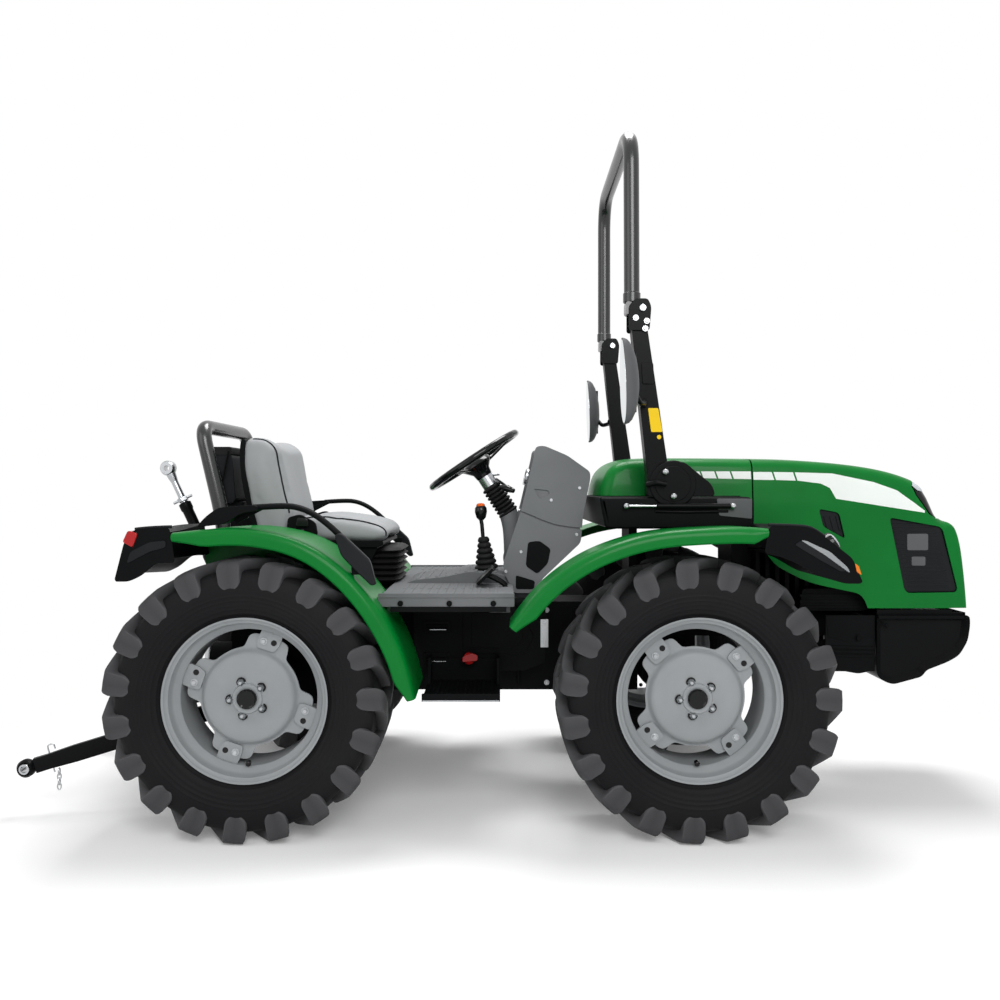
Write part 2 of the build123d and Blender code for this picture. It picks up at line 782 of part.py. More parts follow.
# ------------------------------------------------------------------ seat
pan_z = 845.0
pan_thick = 23.0
cushion_z = pan_z + pan_thick + running_gap
seat_base = joined(
    slab(-800, -470, -150, 150, deck_z, pan_z),
    slab(-890, -440, -215, 215, pan_z, pan_z + pan_thick),
)
save(seat_base, "seat_base")
cushion_outline = (
    (-745, cushion_z),
    (-750, cushion_z + 92),
    (-642, cushion_z + 101),
    (-460, cushion_z + 83),
    (-420, cushion_z + 29),
    (-440, cushion_z),
)
save(prism(cushion_outline, -220, 220, 12), "seat_cushion")
back_outline = (
    (-872, cushion_z),
    (-904, cushion_z + 377),
    (-870, cushion_z + 394),
    (-813, cushion_z + 323),
    (-753, cushion_z + 117),
    (-753, cushion_z),
)
save(prism(back_outline, -215, 215, 10), "seat_backrest")
hoop_half = 235.0
hoop_top_z = 1270.0
hoop_route = (
    (-945, -hoop_half, deck_z),
    (-969, -hoop_half, 1000),
    (-1026, -hoop_half, hoop_top_z),
    (-1026, hoop_half, hoop_top_z),
    (-969, hoop_half, 1000),
    (-945, hoop_half, deck_z),
)
save(less(pipe(hoop_route, 25, 8, 60), deck), "seat_hoop")
rail_y = 545.0
rail_top_z = rear_points[2][1] + 62
rail_route = (
    (-900, rail_y, rail_top_z - 70),
    (-900, rail_y, rail_top_z),
    (-640, rail_y, rail_top_z),
    (-430, rail_y, rail_top_z - 192),
    (-455, rail_y, rail_top_z - 218),
)
rail = less(pipe(rail_route, 13, 6, 22), rear_fender, rear_fender.moved(Location((0, 0, running_gap))))
save(both_sides(rail.solids().sort_by(SortBy.VOLUME)[-1]), "hand_rails")

# ------------------------------------------------------------------ roll bar
post_half = 25.0
rops_y = band_half - post_half
fold_x, fold_z = 428.0, 1631.0
fold_pin_r = 8.0
post_y = (rops_y - post_half, rops_y + post_half)
foot = prism(
    (
        (440, band_top_z),
        (440, 1075),
        (470, 1100),
        (560, 1144),
        (620, 1130),
        (665, 1075),
        (665, band_top_z),
    ),
    *post_y,
)
post = prism(((455, 1070), (388, 1600), (440, 1600), (515, 1070)), *post_y)
ear_side = ((385, 1560), (385, 1640), (405, 1662), (445, 1662), (455, 1640), (450, 1560))
ears = [prism(ear_side, y, y + 6) for y in (post_y[0] - 6.5, post_y[1] + 0.5)]
ear_pads = [slab(390, 448, y, y + 0.5, 1562, 1598) for y in (post_y[0] - 0.5, post_y[1])]
fold_pin = cross_bar(fold_x, fold_z, fold_pin_r, rops_y - 31.5, rops_y + 31.5)
save(both_sides(joined(foot, post, *ears, *ear_pads, fold_pin)), "rops_posts")
hoop_x = 397.0
hoop_r = 25.0
top_z = 2237.0 - hoop_r
hoop_low_z = fold_z + 24
bar_route = (
    (hoop_x, -rops_y, hoop_low_z),
    (hoop_x, -rops_y, top_z),
    (hoop_x, rops_y, top_z),
    (hoop_x, rops_y, hoop_low_z),
)
eye = less(
    slab(374, 446, *post_y, fold_z - 19, fold_z + 25),
    cross_bar(fold_x, fold_z, fold_pin_r + running_gap, rops_y - 40, rops_y + 40),
)
save(joined(pipe(bar_route, hoop_r, 10, 105, 4), eye, eye.mirror(Plane.XZ)), "rops_hoop")
mirror_y = rops_y + 155
mirror_route = (
    (430, post_y[1] - 2, 1330),
    (430, mirror_y - 60, 1330),
    (374, mirror_y, 1300),
    (374, mirror_y, 1385),
)
arm = less(pipe(mirror_route, 8, 6, 22), post)
head = slab(350, 371.7, mirror_y - 70, mirror_y + 65, 1252, 1517)
save(both_sides(joined(arm, head)), "mirrors")

# ------------------------------------------------------------------ rear hitch
top_pin = (-1000.0, 640.0)
top_eye = (-1229.0, 1132.0)
link_pin_r = 9.5
low_pivot = Vector(-880, 175, 335)
low_eye = Vector(-1556, 350, 154)
low_pin_r = 12.0
lift_axis = (-900.0, 610.0)
lift_pin_r = 18.0
arm_end = (-1120.0, 640.0)
arm_pin_r = 8.0
rod_foot = (-1165.0, 258.7)
draw_x = -1018.0
draw_z = (318.0, 338.0)
clevis = [slab(top_pin[0] - 25, housing_rear_x, *y, 600, 665) for y in ((20, 30), (-30, -20))]
bracket = less(
    joined(
        *clevis,
        slab(housing_rear_x - 10, housing_rear_x, -60, 60, 560, 665),
        cross_bar(*top_pin, link_pin_r, -30, 30),
        slab(draw_x - 22, -860, -45, 45, *draw_z),
    ),
    round_bar((draw_x, 0, draw_z[0] - 20), (draw_x, 0, draw_z[1] + 20), 13),
)
hitch_bars = []
for s in (-1, 1):
    hitch_bars += [
        cross_bar(low_pivot.X, low_pivot.Z, low_pin_r, s * 110, s * 200),
        slab(low_pivot.X - 25, low_pivot.X + 25, s * 110, s * 150, low_pivot.Z - 25, low_pivot.Z + 25),
        cross_bar(*lift_axis, lift_pin_r, s * 100, s * 190),
    ]
save(less(joined(bracket, *hitch_bars), rear_housing), "hitch_bracket")

link_start = Vector(top_pin[0], 0, top_pin[1])
link_end = Vector(top_eye[0], 0, top_eye[1])
link_axis = (link_end - link_start).normalized()
link_length = (link_end - link_start).length
link_rows = (
    (0, 14),
    (link_length * 0.28, 14),
    (link_length * 0.285, 22),
    (link_length * 0.745, 22),
    (link_length * 0.75, 13),
    (link_length, 13),
)
link_bar = many_sided(link_rows, tuple(link_start), tuple(link_axis), 10)
eyes = [many_sided(((-19, 25), (19, 25)), (x, 0, z), across, 12) for x, z in (top_pin, top_eye)]
eye_holes = [cross_bar(x, z, link_pin_r + running_gap, -40, 40) for x, z in (top_pin, top_eye)]
save(less(joined(link_bar, *eyes), *eye_holes), "top_link")

link_bars = []
for s in (-1, 1):
    inner = Vector(low_pivot.X, s * low_pivot.Y, low_pivot.Z)
    outer = Vector(low_eye.X, s * low_eye.Y, low_eye.Z)
    axis = (outer - inner).normalized()
    with BuildPart() as bar:
        with BuildSketch(Plane(origin=inner, x_dir=axis.cross(Vector(0, 0, 1)).normalized(), z_dir=axis)):
            Rectangle(18, 55)
        extrude(amount=(outer - inner).length)
        add(many_sided(((-15, 31), (15, 31)), tuple(inner), across, 12))
        add(many_sided(((-17.5, 29), (17.5, 29)), tuple(outer), across, 12))
        for centre, hole_r in ((inner, low_pin_r + running_gap), (outer, 11.2)):
            add(cross_bar(centre.X, centre.Z, hole_r, centre.Y - 45, centre.Y + 45), mode=Mode.SUBTRACT)
    link_bars.append(bar.part)
save(joined(*link_bars), "lower_links")

arms = []
rods = []
for s in (-1, 1):
    arm_y = sorted((s * 140, s * 160))
    arm = joined(
        prism(((-925, 588), (-880, 588), (-880, 636), (-1130, 655), (-1141, 625)), *arm_y),
        many_sided(((arm_y[0], 30), (arm_y[1], 30)), (lift_axis[0], 0, lift_axis[1]), across, 12),
    )
    arm_holes = (
        cross_bar(*lift_axis, lift_pin_r + running_gap, -200, 200),
        cross_bar(*arm_end, arm_pin_r + running_gap, -200, 200),
    )
    arms.append(less(arm, *arm_holes))
    rod = pipe(((rod_foot[0], s * 220, rod_foot[1]), (arm_end[0], s * 185, arm_end[1])), 13, 8)
    fork_pin = cross_bar(*arm_end, arm_pin_r, s * 130, s * 200)
    top_block = slab(arm_end[0] - 18, arm_end[0] + 18, s * 172, s * 200, arm_end[1] - 18, arm_end[1] + 18)
    foot_block = slab(rod_foot[0] - 18, rod_foot[0] + 18, s * 206, s * 232, rod_foot[1] - 18, rod_foot[1] + 18)
    rods.append(joined(rod, fork_pin, top_block, foot_block))
save(joined(*arms), "lift_arms")
save(joined(*rods), "lift_rods")
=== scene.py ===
# %% [markdown]
# # A compact farm tractor, dressed for the camera
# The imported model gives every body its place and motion. This lesson adds what the eye reads:
# lugged tyres, pressed wheels, moulded fenders, a padded seat, paint, rubber and vinyl.
# Lengths are written in millimetres, as on a maker's drawing, and turned to metres once.

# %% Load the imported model
import json
import math
import bmesh
import bpy
import numpy as np
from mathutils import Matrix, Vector
from mathutils.bvhtree import BVHTree


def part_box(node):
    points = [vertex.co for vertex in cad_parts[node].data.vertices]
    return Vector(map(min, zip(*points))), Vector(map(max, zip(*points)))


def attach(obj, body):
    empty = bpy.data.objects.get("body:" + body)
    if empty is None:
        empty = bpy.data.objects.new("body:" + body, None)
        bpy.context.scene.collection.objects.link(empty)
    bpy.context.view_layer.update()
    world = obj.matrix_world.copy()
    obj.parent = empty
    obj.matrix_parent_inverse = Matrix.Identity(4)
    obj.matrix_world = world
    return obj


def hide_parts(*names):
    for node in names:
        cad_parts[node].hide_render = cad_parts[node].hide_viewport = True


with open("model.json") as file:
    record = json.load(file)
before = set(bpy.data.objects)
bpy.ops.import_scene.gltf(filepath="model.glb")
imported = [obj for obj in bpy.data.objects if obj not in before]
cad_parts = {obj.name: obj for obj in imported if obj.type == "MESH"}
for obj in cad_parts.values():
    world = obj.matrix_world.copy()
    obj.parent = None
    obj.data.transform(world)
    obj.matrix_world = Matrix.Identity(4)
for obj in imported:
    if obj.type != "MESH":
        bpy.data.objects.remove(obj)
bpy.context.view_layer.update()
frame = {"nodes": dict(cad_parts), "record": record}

MM = 0.001
NODES = frame["nodes"]

# %% [markdown]
# ## The studio
# A product of this size is shown on a white sweep under large soft lamps. The camera is level, 3.2 m
# from the middle of the machine, with its lens shifted a little so that uprights stay upright.

# %% Camera
scene = bpy.context.scene
scene.view_settings.view_transform = "Standard"


def add_camera(place, reach):
    """Level camera looking along +Y; its lens is the sensor's width times reach, distance over width seen."""
    data = bpy.data.cameras.new("camera")
    data.sensor_width = 36.0
    data.lens = reach * data.sensor_width
    data.shift_y = -0.012
    camera = bpy.data.objects.new("camera", data)
    camera.location = place
    camera.rotation_euler = (math.pi / 2, 0, 0)
    scene.collection.objects.link(camera)
    scene.camera = camera


add_camera((-0.0245, -3.2, 1.060), 0.881)
print("lens", round(scene.camera.data.lens, 3))


# %% Lamps
def add_area(name, place, aim, size, power):
    """Square soft lamp turned towards a point."""
    data = bpy.data.lights.new(name, "AREA")
    data.size = size
    data.energy = power
    lamp = bpy.data.objects.new(name, data)
    lamp.location = place
    lamp.rotation_euler = (Vector(aim) - Vector(place)).to_track_quat("-Z", "Y").to_euler()
    scene.collection.objects.link(lamp)


add_area("key", (0.3, 0.9, 5.0), (0, 0, 0.6), 2.2, 210)
add_area("front", (0.8, -4.6, 3.4), (0, 0, 0.8), 2.6, 150)
add_area("fill", (-3.6, -3.0, 2.6), (0, 0, 0.9), 3.0, 35)
print("lamps", len(bpy.data.lights))


# %% [markdown]
# ## One helper for nodes, one for colour
# Colours are picked as sRGB hex values, the way a paint chart lists them. Blender mixes light in
# linear values, so one function converts them.

# %% Colour and node helpers
def linear(hex_value):
    """sRGB hex to linear: c/12.92 below 0.04045, else ((c + 0.055)/1.055) to the power 2.4."""
    c = np.array([(hex_value >> s & 255) / 255 for s in (16, 8, 0)])
    c = np.where(c <= 0.04045, c / 12.92, ((c + 0.055) / 1.055) ** 2.4)
    return (*c.tolist(), 1.0)


def node(tree, kind, settings=None, **inputs):
    """Add one node; settings are attributes, inputs are values or (node, output) links."""
    made = tree.nodes.new(kind)
    for key, value in (settings or {}).items():
        setattr(made, key, value)
    for key, value in inputs.items():
        index = key[0] == "i" and key[1:].isdigit()
        socket = made.inputs[int(key[1:])] if index else made.inputs[key.replace("_", " ")]
        if isinstance(value, tuple) and isinstance(value[0], bpy.types.Node):
            tree.links.new(value[0].outputs[value[1]], socket)
        else:
            socket.default_value = value
    return made


# %% The shared finish
DRIFT = 180


def empty_tree(holder):
    """Node tree of a material or world with its nodes taken out."""
    holder.use_nodes = True
    holder.node_tree.nodes.clear()
    return holder.node_tree


def finish(name, base, dark, roughness, metallic=0.0, grain=1.0, depth=0.02, spread=0.5, coat=0.0, vary=0.08,
           gloss=0.12):
    """Surface whose colour drifts between two tones over DRIFT and whose bump has one grain size.

    Roughness swings by vary round its value with the same grain; grain and depth are in millimetres.
    """
    mat = bpy.data.materials.new(name)
    tree = empty_tree(mat)
    place = node(tree, "ShaderNodeTexCoord")
    cloud = node(tree, "ShaderNodeTexNoise", Vector=(place, "Object"), Scale=1 / (DRIFT * MM), Detail=4.0)
    ramp = node(tree, "ShaderNodeMapRange", i0=(cloud, 0), i1=0.5 - spread / 2, i2=0.5 + spread / 2)
    tone = node(tree, "ShaderNodeMix", {"data_type": "RGBA"}, i0=(ramp, 0), i6=linear(dark), i7=linear(base))
    speck = node(tree, "ShaderNodeTexNoise", Vector=(place, "Object"), Scale=1 / (grain * MM), Detail=2.0)
    rough = node(tree, "ShaderNodeMapRange", i0=(speck, 0), i1=0.3, i2=0.7,
                 i3=max(0.02, roughness - vary), i4=min(1.0, roughness + vary))
    bump = node(tree, "ShaderNodeBump", Height=(speck, 0), Strength=0.5, Distance=depth * MM)
    shader = node(tree, "ShaderNodeBsdfPrincipled", Base_Color=(tone, 2), Roughness=(rough, 0),
                  Metallic=metallic, Normal=(bump, 0), Coat_Weight=coat, Coat_Roughness=0.08,
                  Specular_IOR_Level=gloss)
    node(tree, "ShaderNodeOutputMaterial", Surface=(shader, 0))
    return mat


# %% [markdown]
# ## Finishes
# Hood, cowl and fenders are gloss-painted moulded panels: a thin clear coat keeps a highlight over a
# deep green. Wheels are silver-grey enamel over pressed steel. Tyres are carbon-black rubber, dull
# on the lugs, which are painted paler with a painted highlight along their edges. Castings and frames
# are black enamel over a sand-cast skin, whose pitted bump breaks the light. The seat is coated vinyl
# with a pebble grain two millimetres wide.

# %% Make the finishes
# Enamels over metal: deep colour with a clear, even sheen; the wheels are paler and softer.
green = finish("green_gloss_enamel", 0x006E27, 0x006423, 0.36, grain=1.6, coat=0.08)
silver = finish("silver_wheel_enamel", 0x919496, 0x868A8C, 0.42, grain=1.2, depth=0.03)
black = finish("black_satin_enamel", 0x0C0D0E, 0x08090A, 0.36, grain=1.5, gloss=0.08)
# The bent hoop is smoother than the rest, so it carries one long highlight.
hoop_enamel = finish("black_gloss_enamel", 0x111213, 0x0D0E0F, 0.28, grain=6.0, depth=0.0005, coat=0.3,
                     vary=0.01, gloss=0.5)
# Sand-cast skin under enamel: coarse pits break the light into a dull black.
cast = finish("sand_cast_iron_enamelled", 0x111213, 0x0C0D0E, 0.55, grain=2.5, depth=0.25, gloss=0.05)
# Mouldings: fine grained and dull, from black through charcoal to pale grey; the lens cover is polished.
gloss_black = finish("black_gloss_abs", 0x0C0D0E, 0x090A0B, 0.12, grain=2.0, depth=0.01, coat=0.3)
plastic = finish("black_moulded_pp", 0x0E0F10, 0x0A0B0C, 0.5, grain=1.1, depth=0.06, gloss=0.05)
dark_grey = finish("charcoal_moulded_abs", 0x1F2123, 0x191B1D, 0.45, grain=1.2, depth=0.05, gloss=0.08)
grey_plastic = finish("grey_moulded_abs", 0x5B5C5E, 0x525355, 0.5, grain=1.1, depth=0.05)
console_grey = finish("pale_grey_moulded_abs", 0x747678, 0x6A6C6E, 0.5, grain=1.1, depth=0.05)
orange = finish("orange_insert_pp", 0xE0611B, 0xCE5716, 0.45, grain=1.2, depth=0.03)
# Rubbers: no sheen to speak of; the mat has the coarsest grain.
rubber = finish("tyre_rubber", 0x19191A, 0x131315, 0.6, grain=1.2, depth=0.08, gloss=0.09)
mat_rubber = finish("floor_mat_rubber", 0x696B6D, 0x5F6163, 0.7, grain=3.0, depth=0.2)
bellows_rubber = finish("bellows_rubber", 0x1D1D1E, 0x161617, 0.6, grain=1.0, depth=0.04)
# Coated cloth: pale grey with a pebble one can see up close.
vinyl = finish("seat_vinyl_pebbled", 0x9C9EA0, 0x919395, 0.55, grain=2.2, depth=0.18, spread=0.7)
# Bare and plated metals: bright on rods and fasteners, duller on the radiator's fins.
steel = finish("zinc_plated_steel", 0xC0C2C4, 0xA9ACAF, 0.28, metallic=1.0, grain=1.0, depth=0.03)
aluminium = finish("radiator_aluminium_fins", 0x6A6D70, 0x55585B, 0.4, metallic=1.0, grain=1.0, depth=0.1)
mirror_glass = finish("silvered_glass", 0xD5DADD, 0xCDD2D5, 0.05, metallic=1.0, grain=4.0, depth=0.004,
                      vary=0.02)
# Films: flat printed colour with a slight shine.
white = finish("white_stripe_film", 0xEDF2EE, 0xE4EAE6, 0.3, grain=1.5, depth=0.01)
yellow = finish("yellow_label_film", 0xE9C31E, 0xDDB71A, 0.4, grain=1.5, depth=0.01)
# Lenses: polished and coated, so they glint.
red = finish("red_lens_acrylic", 0xB01A1C, 0x961416, 0.12, grain=2.0, coat=0.4)
amber = finish("amber_lens_acrylic", 0xE07A1A, 0xCC6C12, 0.15, grain=2.0, coat=0.4)
clear = finish("lamp_lens_polycarbonate", 0xC4CACE, 0xA2A8AD, 0.08, grain=3.0, depth=0.05, coat=0.4)
print("finishes", len(bpy.data.materials))


# %% Painted sheen on the tyre lugs, and finishes for the imported pieces
def paint_sheen(mat, pale):
    """Mix a paler tone into a finish where the mesh's own point attribute rises to 1: a painted sheen."""
    tree = mat.node_tree
    shader = next(n for n in tree.nodes if n.type == "BSDF_PRINCIPLED")
    tone = shader.inputs["Base Color"].links[0].from_node
    wear = node(tree, "ShaderNodeAttribute", {"attribute_name": "wear"})
    mixed = node(tree, "ShaderNodeMix", {"data_type": "RGBA"}, i0=(wear, "Fac"), i6=(tone, 2),
                 i7=linear(pale))
    tree.links.new(mixed.outputs[2], shader.inputs["Base Color"])


# The tyre lugs carry a painted highlight: paler over their faces, palest along their edges.
paint_sheen(rubber, 0x4E4E50)
by_slot = {
    "tyre": rubber, "wheel_paint": silver, "green_paint": green, "green_plastic": green,
    "black_paint": black, "cast_iron": cast, "black_plastic": plastic, "grey_plastic": grey_plastic,
    "vinyl": vinyl, "steel": steel, "rubber": bellows_rubber, "rubber_mat": mat_rubber, "lens": clear,
    "red_lens": red, "mirror": mirror_glass, "aluminium": aluminium, "black_gloss": gloss_black,
}
slot_of = {part["node"]: part["material_slot"] for part in frame["record"]["subparts"]}
for name, obj in NODES.items():
    obj.data.materials.clear()
    obj.data.materials.append(by_slot[slot_of[name]])
print("dressed", len(NODES))

# %% [markdown]
# ## Floor and daylight
# The backdrop is white to the camera and in reflections, but lights the tractor no more than a plain
# room would. The floor is pale paint that takes the soft shadow; 1.5 m from the middle it begins to
# turn into the white of the backdrop, as a sweep does when it is lit to clip.

# %% Floor
def seen_plainly(tree):
    """1 for camera, glossy and transmission rays, else 0: the largest of the three."""
    rays = node(tree, "ShaderNodeLightPath")
    larger = {"operation": "MAXIMUM"}
    two = node(tree, "ShaderNodeMath", larger, i0=(rays, "Is Camera Ray"), i1=(rays, "Is Glossy Ray"))
    return node(tree, "ShaderNodeMath", larger, i0=(two, 0), i1=(rays, "Is Transmission Ray"))


def floor_finish():
    """Pale diffuse paint; where it is seen plainly it fades to white from 1.5 m to 2.4 m out.

    Distance out is the length of (x, 1.25 y), so the fade follows an oval.
    """
    mat = bpy.data.materials.new("studio_floor_paint")
    tree = empty_tree(mat)
    place = node(tree, "ShaderNodeTexCoord")
    cloud = node(tree, "ShaderNodeTexNoise", Vector=(place, "Object"), Scale=2.0, Detail=2.0)
    tone = node(tree, "ShaderNodeMix", {"data_type": "RGBA"}, i0=(cloud, 0), i6=linear(0xF4F4F4),
                i7=linear(0xF8F8F8))
    paint = node(tree, "ShaderNodeBsdfDiffuse", Color=(tone, 2))
    lift = node(tree, "ShaderNodeEmission", Strength=0.12)
    both = node(tree, "ShaderNodeAddShader", i0=(paint, 0), i1=(lift, 0))
    glow = node(tree, "ShaderNodeEmission", Strength=1.0)
    oval = node(tree, "ShaderNodeVectorMath", {"operation": "MULTIPLY"}, i0=(place, "Object"),
                i1=(1, 1.25, 0))
    reach = node(tree, "ShaderNodeVectorMath", {"operation": "LENGTH"}, i0=(oval, 0))
    fade = node(tree, "ShaderNodeMapRange", {"interpolation_type": "SMOOTHSTEP"}, i0=(reach, "Value"),
                i1=1.5, i2=2.4)
    near = node(tree, "ShaderNodeMixShader", Fac=(fade, 0), i1=(both, 0), i2=(glow, 0))
    pick = node(tree, "ShaderNodeMixShader", Fac=(seen_plainly(tree), 0), i1=(paint, 0), i2=(near, 0))
    node(tree, "ShaderNodeOutputMaterial", Surface=(pick, 0))
    return mat


floor_mesh = bpy.data.meshes.new("floor")
corners = [(-14, -9, -0.001), (14, -9, -0.001), (14, 16, -0.001), (-14, 16, -0.001)]
floor_mesh.from_pydata(corners, [], [(0, 1, 2, 3)])
floor = bpy.data.objects.new("floor", floor_mesh)
floor_mesh.materials.append(floor_finish())
scene.collection.objects.link(floor)
print("floor", floor.dimensions[:2])

# %% Daylight
world = bpy.data.worlds.new("room")
tree = empty_tree(world)
dim = node(tree, "ShaderNodeBackground", Color=(1, 1, 1, 1), Strength=0.38)
bright = node(tree, "ShaderNodeBackground", Color=(1, 1, 1, 1), Strength=1.0)
mixed = node(tree, "ShaderNodeMixShader", Fac=(seen_plainly(tree), 0), i1=(dim, 0), i2=(bright, 0))
node(tree, "ShaderNodeOutputWorld", Surface=(mixed, 0))
scene.world = world
print("world", world.name)

# %% [markdown]
# ## Surfaces as arrays
# A surface is a grid of points: one direction runs along the piece, the other round or across it.
# Numpy works out the whole grid at once, and the mesh takes it in one go. `Shape` collects several
# grids, so that a wheel with its bolts or a link with its eyes stays one piece.

# %% Shape and its mesh
MIRROR = (1, -1, 1)
NEAR, ACROSS, FORWARD, REARWARD, UP = (0, -1, 0), (0, 1, 0), (1, 0, 0), (-1, 0, 0), (0, 0, 1)


def around_circle(count):
    """Angles from 0 up to, but not with, a full turn in equal steps."""
    return np.linspace(0, 2 * np.pi, count, endpoint=False)


def grid_faces(rows, cols, start=0, wrap_rows=False, wrap_cols=False, flip=False):
    """Four-cornered faces between neighbours of a rows by cols grid."""
    r = np.arange(rows if wrap_rows else rows - 1)
    c = np.arange(cols if wrap_cols else cols - 1)
    r, c = np.meshgrid(r, c, indexing="ij")
    r2, c2 = (r + 1) % rows, (c + 1) % cols
    quads = np.stack([r * cols + c, r * cols + c2, r2 * cols + c2, r2 * cols + c], -1)
    quads = quads.reshape(-1, 4) + start
    return (quads[:, ::-1] if flip else quads).tolist()


class Shape:
    """Collects points and faces of several closed forms into one mesh."""

    def __init__(self):
        """Start with no points and no faces."""
        self.points, self.faces, self.count = [], [], 0

    def add(self, points, faces):
        """Append points, in millimetres, and faces that count from the first of them."""
        points = np.asarray(points, float).reshape(-1, 3)
        self.faces += [[i + self.count for i in f] for f in faces]
        self.points.append(points)
        self.count += len(points)
        return self

    def join(self, other):
        """Append all of another shape."""
        return self.add(np.concatenate(other.points), other.faces)

    def mapped(self, change):
        """A copy with a function applied to all its points."""
        return Shape().add(change(np.concatenate(self.points)), self.faces)

    def pair(self):
        """The shape and its mirror image across the middle plane."""
        return Shape().join(self).join(self.mapped(lambda p: p * MIRROR))

    def mesh(self, name):
        """Mesh in metres with every closed form turned outwards."""
        mesh = bpy.data.meshes.new(name)
        mesh.from_pydata((np.concatenate(self.points) * MM).tolist(), [], self.faces)
        work = bmesh.new()
        work.from_mesh(mesh)
        bmesh.ops.recalc_face_normals(work, faces=work.faces)
        work.to_mesh(mesh)
        work.free()
        return mesh


def add_piece(name, shape, material, hides=(), body="chassis", smooth=40, bevel=0, segments=2):
    """Object from a shape, riding on a body.

    Edges sharper than smooth degrees stay sharp; a bevel in millimetres rounds those over 32 degrees.
    """
    mesh = shape.mesh(name)
    mesh.materials.append(material)
    obj = bpy.data.objects.new(name, mesh)
    scene.collection.objects.link(obj)
    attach(obj, body)
    if hides:
        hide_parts(*hides)
    mesh.shade_smooth()
    mesh.set_sharp_from_angle(angle=math.radians(smooth))
    if bevel:
        soft = obj.modifiers.new("edge", "BEVEL")
        soft.width = bevel * MM
        soft.segments = segments
        soft.limit_method = "ANGLE"
        soft.angle_limit = math.radians(32)
        soft.harden_normals = True
    return obj


# %% [markdown]
# Windows, wheel arches and split lines are cut with exact booleans, as a moulding is routed after it
# leaves the mould. The result comes back as a shape, so it can be cut again.

# %% Cutting
def evaluated_mesh(obj):
    """A new mesh with an object's modifiers worked out."""
    return bpy.data.meshes.new_from_object(obj.evaluated_get(bpy.context.evaluated_depsgraph_get()))


def vertex_places(mesh):
    """All vertex places of a mesh, in metres, as rows of (x, y, z)."""
    flat = np.empty(len(mesh.vertices) * 3)
    mesh.vertices.foreach_get("co", flat)
    return flat.reshape(-1, 3)


def carve(shape, cutter, operation="DIFFERENCE"):
    """The shape with a cutter taken out of it, or only what both share."""
    made = []
    for item in (shape, cutter):
        obj = bpy.data.objects.new("carve", item.mesh("carve"))
        scene.collection.objects.link(obj)
        made.append(obj)
    tool = made[0].modifiers.new("cut", "BOOLEAN")
    tool.object = made[1]
    tool.operation = operation
    tool.solver = "EXACT"
    got = evaluated_mesh(made[0])
    result = Shape().add(vertex_places(got) / MM, [list(p.vertices) for p in got.polygons])
    for obj in made:
        bpy.data.meshes.remove(obj.data)
    bpy.data.meshes.remove(got)
    return result


def prism(*outlines, low=-300.0, high=300.0):
    """Cutting tool: outlines in X and Z carried across the machine."""
    tool = Shape()
    for outline in outlines:
        plate(tool, outline, low, high)
    return tool


def windows(shape, outlines, inner):
    """Cut outlines in X and Z through both sides, from a distance off the middle plane outwards."""
    for outline in outlines:
        shape = carve(shape, prism(outline, low=inner))
        shape = carve(shape, prism(outline, high=-inner))
    return shape


# %% [markdown]
# ## Turned forms
# Pins, bolts, sleeves, rims and tyres are all turned: a section of (place along the axis, radius)
# goes round an axis. A loft of rings with closed ends is the same grid, so one helper makes both.

# %% Turned forms
def frame_of(axis):
    """Two unit directions square to an axis."""
    axis = np.asarray(axis, float) / np.linalg.norm(axis)
    side = np.cross(axis, (0, 0, 1) if abs(axis[2]) < 0.9 else (1, 0, 0))
    side /= np.linalg.norm(side)
    return side, np.cross(axis, side), axis


def lathe(rows, origin, axis, around=64):
    """Grid of a turned form: point = origin + axis d + r (side cos a + up sin a) for rows of (d, r)."""
    side, up, axis = frame_of(axis)
    rows = np.asarray(rows, float)
    a = around_circle(around)
    ring = side[None] * np.cos(a)[:, None] + up[None] * np.sin(a)[:, None]
    return np.asarray(origin) + rows[:, :1, None] * axis + rows[:, 1:, None] * ring[None]


def capped(shape, points, closed=False):
    """Add rings of points as a tube, its two ends closed unless the rings themselves close."""
    rows, cols = points.shape[:2]
    faces = grid_faces(rows, cols, wrap_rows=closed, wrap_cols=True, flip=True)
    if not closed:
        faces += [list(range(cols)), list(range((rows - 1) * cols, rows * cols))[::-1]]
    return shape.add(points, faces)


def turned(shape, rows, origin, axis, around=48, closed=False):
    """Add a turned form from rows of (place along the axis, radius); a closed one is a ring section."""
    return capped(shape, lathe(rows, origin, axis, around), closed)


def disc(shape, origin, axis, radius, length, soft=1.0, around=24):
    """Add a short round bar with eased edges."""
    rows = ((0, radius - soft), (soft, radius), (length - soft, radius), (length, radius - soft))
    return turned(shape, rows, origin, axis, around)


def bolt(shape, origin, axis, size=9.0, height=7.0):
    """Add a hexagon head on a washer."""
    disc(shape, origin, axis, size * 1.35, 2.0, 0.5, 20)
    return turned(shape, ((1, size), (height - 1.5, size), (height, size - 1.6)), origin, axis, 6)


# %% [markdown]
# ## Smooth lines and bent tube
# A fabricator gives a few corners and a bend radius. Both helpers below turn such corners into a
# smooth line; a tube then carries a round or flattened section along it.

# %% Lines and tubes
def eased(corners, steps=6, closed=False):
    """Smooth line through the middles of the legs: (1-t)^2 A + 2t(1-t) C + t^2 B round each corner C."""
    corners = np.asarray(corners, float)
    t = np.linspace(0, 1, steps, endpoint=False)[:, None, None]
    if closed:
        a, c, b = np.roll(corners, 1, 0), corners, np.roll(corners, -1, 0)
    else:
        a, c, b = corners[:-2], corners[1:-1], corners[2:]
    start, stop = (a + c) / 2, (c + b) / 2
    if not closed:
        start[0], stop[-1] = corners[0], corners[-1]
    curve = ((1 - t) ** 2 * start + 2 * t * (1 - t) * c + t**2 * stop).transpose(1, 0, 2)
    curve = curve.reshape(-1, corners.shape[1])
    return curve if closed else np.concatenate([curve, corners[-1:]])


